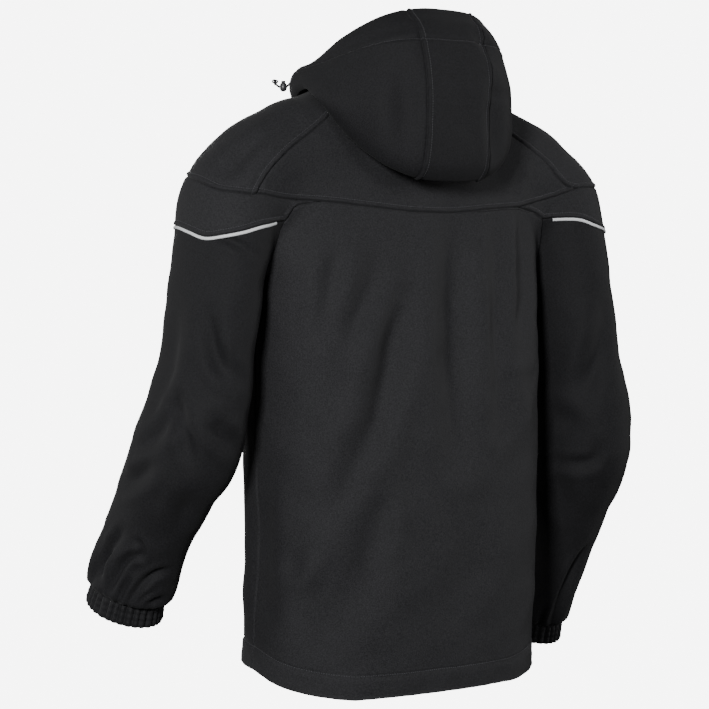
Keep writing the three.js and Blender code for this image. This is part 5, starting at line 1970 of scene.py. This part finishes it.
@dataclass
class Hood:
    """Three-panel hood, pushed back and hanging, with a wide turned-in tunnel."""

    centre_half: float = 48.0
    round_back: float = 0.74  # below 1 the pouch is squarer than an ellipse
    round_front: float = 0.9
    clear: float = 4.2  # between the hood and the cloth that it rests over
    sweep: float = 1.25
    seam_col: int = 6  # the frame's columns: panel seam, then raglan seams, then zip
    back_col: int = 9
    side_col: int = 21
    zip_col: int = 27
    tunnel: float = 10.55  # ring of the tunnel's stitch line
    last_ring: float = 12.0
    tunnel_wall: float = 2.6

    def __post_init__(self) -> None:
        """Prepares the readers of the rings."""
        self.read = readers(range(len(HOOD)), HOOD, HoodRow._fields)

    def neck(self, side: Side, c: Array) -> Array:
        """Returns the collar seam at the frame's columns.

        Args:
            side: Left or right.
            c: Columns.

        Returns:
            The places.
        """
        s = SEAMS[side]
        out = np.empty((len(c), 3))
        stops_at = (0, self.back_col, self.side_col, self.zip_col)
        for low, high, line in zip(stops_at, stops_at[1:], (s.neck_back, s.neck_side, s.neck_front)):
            own = (c >= low) & (c <= high)
            out[own] = sample(line, (c[own] - low) / (high - low))
        return out

    def ring(self, side: Side, c: Array, t: Array) -> Array:
        """Returns places on the hood at the frame's columns and rings from 0 up.

        Args:
            side: Left or right.
            c: Columns.
            t: Rings.

        Returns:
            The places.
        """
        row = {name: read(t) for name, read in self.read.items()}
        at_seam = np.arcsin((self.centre_half / row["side_x"]) ** (1 / self.round_back))
        at_zip = np.pi - np.arcsin((ZIP_HALF_WIDTH / row["side_x"]) ** (1 / self.round_front))
        past = (c - self.seam_col) / (self.zip_col - self.seam_col)
        turn = np.where(c <= self.seam_col, at_seam * c / self.seam_col, at_seam + (at_zip - at_seam) * past)
        power = np.where(np.cos(turn) > 0, self.round_back, self.round_front)
        rear = np.sign(np.cos(turn)) * np.abs(np.cos(turn)) ** power
        back = rear > 0
        reach = np.where(back, row["back_y"] - row["side_y"], row["side_y"] - row["front_y"])
        lift = np.where(back, row["back_z"] - row["side_z"], row["front_z"] - row["side_z"])
        x = side.sign * row["side_x"] * np.abs(np.sin(turn)) ** power
        share = np.abs(rear) ** np.where(back, self.sweep, 2)
        p = np.stack([x, row["side_y"] + reach * rear, row["side_z"] + lift * share], axis=1)
        clear = np.minimum(self.clear, 1.3 * (t + 1))
        low = np.flatnonzero(body_cloth(p) < clear)
        for _ in range(8 if len(low) else 0):
            q = p[low]
            g = slope_of(body_cloth, q)
            step = np.clip((body_cloth(q) - clear[low]) / dot(g, g), -24, 24)
            p[low] = q - g * step[:, None]
        p[c >= self.zip_col - 1e-6, 0] = side.sign * ZIP_HALF_WIDTH
        return p

    def surface(self, side: Side, c: Array, t: Array) -> Array:
        """Returns places on the hood, from the collar seam at ring -1.

        Args:
            side: Left or right.
            c: Columns.
            t: Rings.

        Returns:
            The places.
        """
        first = self.ring(side, c, np.maximum(t, 0))
        low = t < 0
        if low.any():
            share = -t[low][:, None]
            first[low] = first[low] * (1 - share) + self.neck(side, c[low]) * share
        return first

    def columns(self) -> Array:
        """Returns the columns of one half, close together at the seams and even by real length.

        Returns:
            The columns.
        """
        probe = np.linspace(self.seam_col, self.zip_col, 400)
        along = lengths_of(self.ring(Side.LEFT, probe, np.full(400, 8.0)))
        half = np.interp(stops(float(along[-1]), 5.0) * along[-1], along, probe)
        middle = self.seam_col * stops(118.0, 4.6)
        middle = middle[: len(middle) // 2 + 1]
        centre = np.unique(np.round(self.seam_col - 2 * middle[middle <= self.seam_col / 2], 5))
        return np.unique(np.round(np.concatenate([[0.0], centre, half]), 5))

    def build(self, finishes: Finishes, sewing: Sewing) -> None:
        """Builds the three panels and notes their stitching.

        Args:
            finishes: Materials.
            sewing: Collects the stitching.
        """
        cols = self.columns()
        collar = (-1, -0.94, -0.86, -0.7, -0.45, -0.2, 0)
        stitched = (10.4, 10.47, 10.52, 10.55, 10.58, 10.65, 10.78, 10.92)
        rim = (11.1, 11.25, 11.4, 11.55, 11.7, 11.82, 11.92, self.last_ring)
        rings = np.concatenate([collar, np.linspace(0, 10.3, 64)[1:], stitched, rim])
        c, t = np.meshgrid(cols, rings)
        halves = [self.surface(side, c.ravel(), t.ravel()).reshape(*c.shape, 3) for side in Side]
        whole = np.concatenate([halves[0][:, ::-1], halves[1][:, 1:]], axis=1)
        centre_col = len(cols) - 1
        facings = grid_facings(whole)
        if facings[len(rings) // 2, centre_col, 1] < 0:
            facings = -facings
        facings[0] = unit(slope_of(body_cloth, whole[0]))
        seam_at = int(np.argmin(np.abs(cols - self.seam_col)))
        left_seam, right_seam = centre_col - seam_at, centre_col + seam_at
        line_row = int(np.argmin(np.abs(rings - self.tunnel)))
        lift = self.shape(whole, facings, (left_seam, right_seam), line_row)
        folded = whole + facings * lift[..., None]
        drawn = grid_facings(folded)
        drawn = drawn * np.sign(dot(drawn, facings))[..., None]
        drawn[0] = facings[0]
        walls = [WALL, WALL, self.tunnel_wall, self.tunnel_wall]
        thick = np.interp(rings, [-1, 9, 10.5, self.last_ring], walls)
        for name, low, high, flat, area in (
            ("hood_left", 0, left_seam, (0.27, 0.32), 0.062),
            ("hood_centre", left_seam, right_seam, (0.12, 0.50), 0.046),
            ("hood_right", right_seam, 2 * centre_col, (0.27, 0.32), 0.062),
        ):
            part, ways = folded[:, low : high + 1], drawn[:, low : high + 1]
            # The hood's panels take the darker copy of the softshell: painted shade
            obj = wall(name + "_cloth", part, ways, finishes.painted_shade_cloth, thick, round_ends=(False, True))
            settle_piece(obj, "softshell", name)
            every = np.arange(part.shape[1], dtype=float)
            sewing.on_grid(name, part, ways, np.full(len(every), float(line_row)), every)
            if name == "hood_centre":
                for col, from_end in ((left_seam, False), (right_seam, True)):
                    spots = col_line(whole[:, low : high + 1], whole[:, col], STITCH_OFFSET, from_end)
                    sewing.on_grid(name, part, ways, *spots)

    def shape(self, whole: Array, facings: Array, seams: tuple[int, int], line_row: int) -> Array:
        """Returns the lift of the hood's seams, tunnel, waves and folds.

        Args:
            whole: The smooth hood.
            facings: Outward directions.
            seams: Columns of the left and the right panel seam.
            line_row: Row of the tunnel's stitching.

        Returns:
            The lift in millimetres.
        """
        p, n = whole.reshape(-1, 3), facings.reshape(-1, 3)
        lift = 0.5 * ripple(p, 21, 90) + 0.25 * ripple(p, 22, 36)
        for stroke in STROKES:
            if stroke.row.on == "hood":
                lift -= stroke.depth(p, n)
        rows, cols = whole.shape[:2]
        at_col = np.tile(np.arange(cols), rows)
        for col, sign in zip(seams, (1, -1)):
            d = distance_to(p, whole[:, col])
            lift -= 1.2 * bell(d, 1.4)
            lift += np.where((at_col - col) * sign > 0, strip(d, 1.6), 0)
            lift += 0.3 * pucker(p, d, 5, 24, 9)
        lift -= 1.0 * bell(distance_to(p, whole[0]), 1.4)
        d = distance_to(p, whole[line_row])
        beyond = np.repeat(np.arange(rows), cols) >= line_row
        lift -= 1.7 * bell(d, 1.2)
        lift += np.where(beyond, 0.9 * smooth_step(0.5, 2.5, d), 0.8 * bell(d - 4, 2.2))
        lift += 0.45 * pucker(p, d, 6, 26, 8)
        lift += 0.35 * bell(distance_to(p, whole[-1]), 6)
        return lift.reshape(rows, cols)


@dataclass
class FrontZip:
    """Closed front zip between the fronts, up to the throat of the hood."""

    pitch: float = 3.0
    wing_sunk: float = 2.5  # the tape's wings lie inside the fronts
    tape_thick: float = 0.9
    tooth: tuple[float, float, float] = (1.5, 3.6, 1.0)
    tooth_shift: float = 0.9  # teeth stand by turns to the left and right
    rows: int = 260

    def build(self, finishes: Finishes, hood: Hood, lines: dict[Side, Array]) -> None:
        """Builds the tape and the teeth, and dresses the slider and its tab.

        Args:
            finishes: Materials.
            hood: The hood, whose throat the zip runs up.
            lines: The zip edge of each front.
        """
        places = np.full(60, float(hood.zip_col)), np.linspace(hood.last_ring, 0, 60)
        edge = {side: evenly(join(hood.surface(side, *places), lines[side]), self.rows) for side in Side}
        wing = np.array([-1.1, -0.5, 0.0])
        share = np.concatenate([wing, np.linspace(0.02, 0.98, 7), 1 - wing[::-1]])[None, :, None]
        grid = edge[Side.LEFT][:, None] * (1 - share) + edge[Side.RIGHT][:, None] * share
        mid_row, mid_col = self.rows // 2, share.size // 2
        out = unit(np.cross(np.gradient(grid[:, mid_col], axis=0), edge[Side.RIGHT] - edge[Side.LEFT]))
        out *= -np.sign(out[mid_row, 1])
        sunk = np.array([1.0] * 3 + [0.0] * 7 + [1.0] * 3)
        grid -= out[:, None] * (sunk * self.wing_sunk)[None, :, None]
        grid[0] += unit(grid[1] - grid[0]) * 0.15
        facings = grid_facings(grid)
        if facings[mid_row, mid_col, 1] > 0:
            facings = -facings
        obj = wall("front_zip_tape", grid, facings, finishes.zip_tape, self.tape_thick)
        settle_piece(obj, "zip_chain", "front_zip")
        along = lengths_of(grid[:, mid_col])
        want = np.arange(3, along[-1] - 4, self.pitch)
        spots = read_line(grid[:, mid_col], along, want)
        out = unit(read_line(facings[:, mid_col], along, want))
        way = unit(np.gradient(spots, axis=0))
        step = np.where(np.arange(len(want)) % 2 == 0, self.tooth_shift, -self.tooth_shift)[:, None]
        tree = repeat_tree(Repeat.TOOTH, finishes.plastic)
        teeth = lay_along("zip_teeth", spots + unit(np.cross(way, out)) * step, way, out, self.tooth, tree)
        settle_piece(teeth, "zip_chain")
        for node in ("zip_slider", "zip_pull"):
            dress(node, finishes.metal)


def braid(
    name: str, path: Array, radius: float, sides: int, finish: bpy.types.Material, ridge: float
) -> bpy.types.Object:
    """Makes a closed round braided cord along a path.

    Args:
        name: The piece's name.
        path: Centreline in millimetres.
        radius: Radius.
        sides: Points round the cord.
        finish: Material.
        ridge: Height of the braid's ridges.

    Returns:
        The piece.
    """
    tangent = unit(np.gradient(path, axis=0))
    normal = np.empty_like(path)
    normal[0] = unit(np.cross(tangent[0], [0, 0, 1.0]))
    for k in range(1, len(path)):
        n = normal[k - 1] - tangent[k] * np.dot(normal[k - 1], tangent[k])
        normal[k] = n / np.linalg.norm(n)
    side = np.cross(tangent, normal)
    angle = 2 * np.pi * np.arange(sides) / sides
    twist = 2 * np.pi * BRAID_TWIST * lengths_of(path)[:, None]
    weave = np.cos(4 * (angle[None] + twist)) * np.cos(4 * (angle[None] - twist))
    r = radius - ridge / 2 + ridge * weave / 2
    rings = path[:, None] + r[..., None] * (
        np.cos(angle)[None, :, None] * normal[:, None] + np.sin(angle)[None, :, None] * side[:, None]
    )
    return solid_of_rings(name, rings, finish)


@dataclass
class HoodCord:
    """One end of the hood's cord: eyelet, ball lock and knot."""

    side: Side
    radius: float = 1.5
    knot: float = 4.6
    knot_cord: float = 1.1
    lock_radius: float = 4.8
    lock_half: float = 6.0
    lock_away: float = 20.0
    lock_below: float = 7.0
    lock_sides: int = 36
    button: float = 2.7
    column: int = 19
    ring: float = 11.0

    def build(self, finishes: Finishes, hood: Hood) -> None:
        """Builds the cord, its lock and its knot, and dresses the eyelet.

        Args:
            finishes: Materials.
            hood: The hood.
        """
        name = self.side.value
        c = np.array([self.column, self.column + 1, self.column, self.column + 1], float)
        t = np.array([self.ring, self.ring, self.ring + 1, self.ring + 1])
        corners = hood.surface(self.side, c, t)
        spot = corners.mean(axis=0)
        out = unit(np.cross(corners[1] - corners[2], corners[3] - corners[0]))
        if out[0] * self.side.sign < 0:
            out = -out
        level = unit(np.array([out[0], out[1], 0]))
        up = np.array([0, 0, 1.0])
        lock = spot + level * self.lock_away - up * self.lock_below
        stations = [
            spot + out * 1,
            spot + out * 6 - up * 2,
            lock - level * 4,
            lock,
            lock + level * 4,
            lock + level * 9 + up * 2.5,
            lock + level * 12 + up * 7,
        ]
        path = smooth_line(np.array(stations), 70)
        cord = braid("drawcord_braid_" + name, path, self.radius, 16, finishes.cord, 0.3)
        knot = self.knot_form(path[-1], name, finishes)
        body = self.lock_form(lock, level, name, finishes)
        settle_piece(cord, "cord", "drawcord_" + name)
        settle_piece(knot, "cord")
        settle_piece(body, "cord_lock", "cord_lock_" + name)
        dress("eyelet_" + name, finishes.metal)

    def knot_form(self, spot: Array, name: str, finishes: Finishes) -> bpy.types.Object:
        """Builds the overhand knot at the cord's end.

        Args:
            spot: The cord's end.
            name: The side's name.
            finishes: Materials.

        Returns:
            The piece.
        """
        a = np.linspace(0, 2 * np.pi, 61)
        loop = [np.sin(a) + 2 * np.sin(2 * a), -1.4 * np.sin(3 * a), np.cos(a) - 2 * np.cos(2 * a)]
        path = spot + np.stack(loop, axis=1) * ((self.knot - self.knot_cord) / 3.0)
        return braid("cord_knot_" + name, path, self.knot_cord, 10, finishes.cord, 0.2)

    def lock_form(self, spot: Array, level: Array, name: str, finishes: Finishes) -> bpy.types.Object:
        """Builds the ball lock: a barrel with two grooves and a push button.

        Args:
            spot: Its middle.
            level: Level direction away from the hood.
            name: The side's name.
            finishes: Materials.

        Returns:
            The piece.
        """
        heights = np.linspace(-1, 1, 33)
        profile = self.lock_radius * (1 - np.abs(heights) ** 2.4) ** 0.42
        profile -= 0.35 * bell(heights - 0.45, 0.05) + 0.25 * bell(heights + 0.6, 0.05)
        z = heights * self.lock_half
        keep = z < self.lock_half - 0.4
        push = [2.9, self.button, self.button, 2.3, 0.02]
        radii = np.concatenate([[0.02], np.maximum(profile[keep][1:], 0.6), push])
        levels = np.concatenate([[z[0]], z[keep][1:], [5.4, 5.5, 7.5, 7.95, 8.0]])
        path = spot + np.stack([0 * levels, 0 * levels, levels], axis=1)
        angle = 2 * np.pi * np.arange(self.lock_sides) / self.lock_sides
        side = np.cross([0, 0, 1.0], level)
        around = np.cos(angle)[None, :, None] * level + np.sin(angle)[None, :, None] * side
        rings = path[:, None] + radii[:, None, None] * around
        return solid_of_rings("cord_lock_body_" + name, rings, finishes.plastic)


class Lamp(NamedTuple):
    """A square soft lamp: degrees round from the back's middle, degrees up, size in m, watts."""

    name: str
    turn: float
    height: float
    size: float
    watts: float


@dataclass
class Studio:
    """Camera at the photograph's angle, pale floor and soft lights."""

    azimuth: float = 148.0
    distance: float = 3.0
    camera_z: float = -0.280
    sensor_mm: float = 36.0
    focus_px: float = 2343.0
    frame_px: float = 709.0
    axis_px: float = 388.0  # where the jacket's axis stands across the frame
    horizon_px: float = 319.0
    floor_z: float = -1.42
    floor_radius: float = 9.0
    floor_colour: str = "#4c4c4c"
    surround: float = 0.13  # white surroundings as a light
    backdrop: float = 7.0  # white surroundings as the camera sees them
    aim_z: float = -0.3
    lamp_away: float = 3.2
    lamps: tuple[Lamp, ...] = (
        Lamp("key", 45, 12, 0.55, 116),
        Lamp("front", -12, 14, 1.0, 20),
        Lamp("rim_left", 130, 6, 0.8, 30),
        Lamp("rim_right", -68, 12, 0.9, 34),
        Lamp("before", -160, 14, 1.2, 44),
    )

    def build(self) -> None:
        """Builds the camera, the floor and the lights."""
        self.camera()
        self.floor()
        self.surroundings()
        for lamp in self.lamps:
            self.lamp(lamp)

    def camera(self) -> None:
        """Sets the camera where the photograph was taken from."""
        a = math.radians(self.azimuth)
        back = np.array([math.sin(a), -math.cos(a), 0])
        right = np.array([math.cos(a), math.sin(a), 0])
        data = bpy.data.cameras.new("photo_camera")
        data.sensor_width = self.sensor_mm
        data.lens = self.sensor_mm * self.focus_px / self.frame_px
        data.clip_end = 100
        sideways = (self.frame_px / 2 - self.axis_px) / self.focus_px
        down = (self.horizon_px - self.frame_px / 2) / self.focus_px
        spot = back * self.distance
        camera = link_object("photo_camera", data)
        self.aim(camera, (spot[0], spot[1], self.camera_z), -back + right * sideways + np.array([0, 0, down]))
        bpy.context.scene.camera = camera

    def floor(self) -> None:
        """Builds the plain pale floor."""
        angle = 2 * np.pi * np.arange(64) / 64
        reach = self.floor_radius / MM
        level = np.full(64, self.floor_z / MM)
        ring = np.stack([reach * np.cos(angle), reach * np.sin(angle), level], axis=1)
        material = bpy.data.materials.new("matt_white_paper")
        material.use_nodes = True
        tree = material.node_tree
        shader = tree.nodes["Principled BSDF"]
        shader.inputs["Base Color"].default_value = linear(self.floor_colour)
        shader.inputs["Roughness"].default_value = 0.9
        shader.inputs["Emission Color"].default_value = (1, 1, 1, 1)
        tree.links.new(self.glow(tree, 0.0), shader.inputs["Emission Strength"])
        make_object("studio_floor", ring, [list(range(64))], material, smooth=False)

    def glow(self, tree: bpy.types.NodeTree, as_light: float) -> bpy.types.NodeSocket:
        """Adds the strength of a white that the camera sees brighter than it lights.

        Args:
            tree: Node tree of one stitch.
            as_light: Its strength as a light.

        Returns:
            The strength's socket.
        """
        seen = add_node(tree, "ShaderNodeLightPath").outputs["Is Camera Ray"]
        spread = add_node(tree, "ShaderNodeMapRange", Value=seen, To_Min=as_light, To_Max=self.backdrop)
        return spread.outputs["Result"]

    def surroundings(self) -> None:
        """Adds the white surroundings."""
        world = bpy.data.worlds.new("white_studio")
        world.use_nodes = True
        tree = world.node_tree
        tree.nodes.clear()
        strength = self.glow(tree, self.surround)
        light = add_node(tree, "ShaderNodeBackground", Strength=strength, Color=(1, 1, 1, 1))
        add_node(tree, "ShaderNodeOutputWorld", Surface=light.outputs[0])
        bpy.context.scene.world = world

    def lamp(self, lamp: Lamp) -> None:
        """Adds one square soft lamp aimed at the jacket.

        Args:
            lamp: The lamp.
        """
        t, h = math.radians(lamp.turn), math.radians(lamp.height)
        spot = (math.sin(t) * math.cos(h), math.cos(t) * math.cos(h), math.sin(h))
        spot = tuple(self.lamp_away * np.array(spot) + (0, 0, self.aim_z))
        data = bpy.data.lights.new(lamp.name + "_softbox", "AREA")
        data.size = lamp.size
        data.energy = lamp.watts
        self.aim(link_object(data.name, data), spot, Vector((0, 0, self.aim_z)) - Vector(spot))

    @staticmethod
    def aim(obj: bpy.types.Object, spot: Sequence[float], way: Sequence[float]) -> None:
        """Sets a camera or lamp at a spot, looking one way.

        Args:
            obj: The object.
            spot: Its place.
            way: Direction that it looks.
        """
        obj.location = spot
        obj.rotation_mode = "QUATERNION"
        obj.rotation_quaternion = Vector(way).to_track_quat("-Z", "Y")


def main() -> None:
    """Builds the jacket in the order it is sewn."""
    logging.basicConfig(level=logging.INFO, format="%(name)s: %(message)s", stream=sys.stdout)
    Studio().build()
    finishes = Finishes()
    sewing = Sewing()
    hood = Hood()
    for side in Side:
        HoodCord(side).build(finishes, hood)
    hem = Back().build(finishes, sewing)
    lines = {}
    for side in Side:
        Shoulder(side).build(finishes, sewing)
        lines[side] = Front(side).build(finishes, sewing, hem)
        Sleeve(side).build(finishes)
    hood.build(finishes, sewing)
    FrontZip().build(finishes, hood, lines)
    sewing.build(repeat_tree(Repeat.STITCH, finishes.thread))


if __name__ == "__main__":
    main()
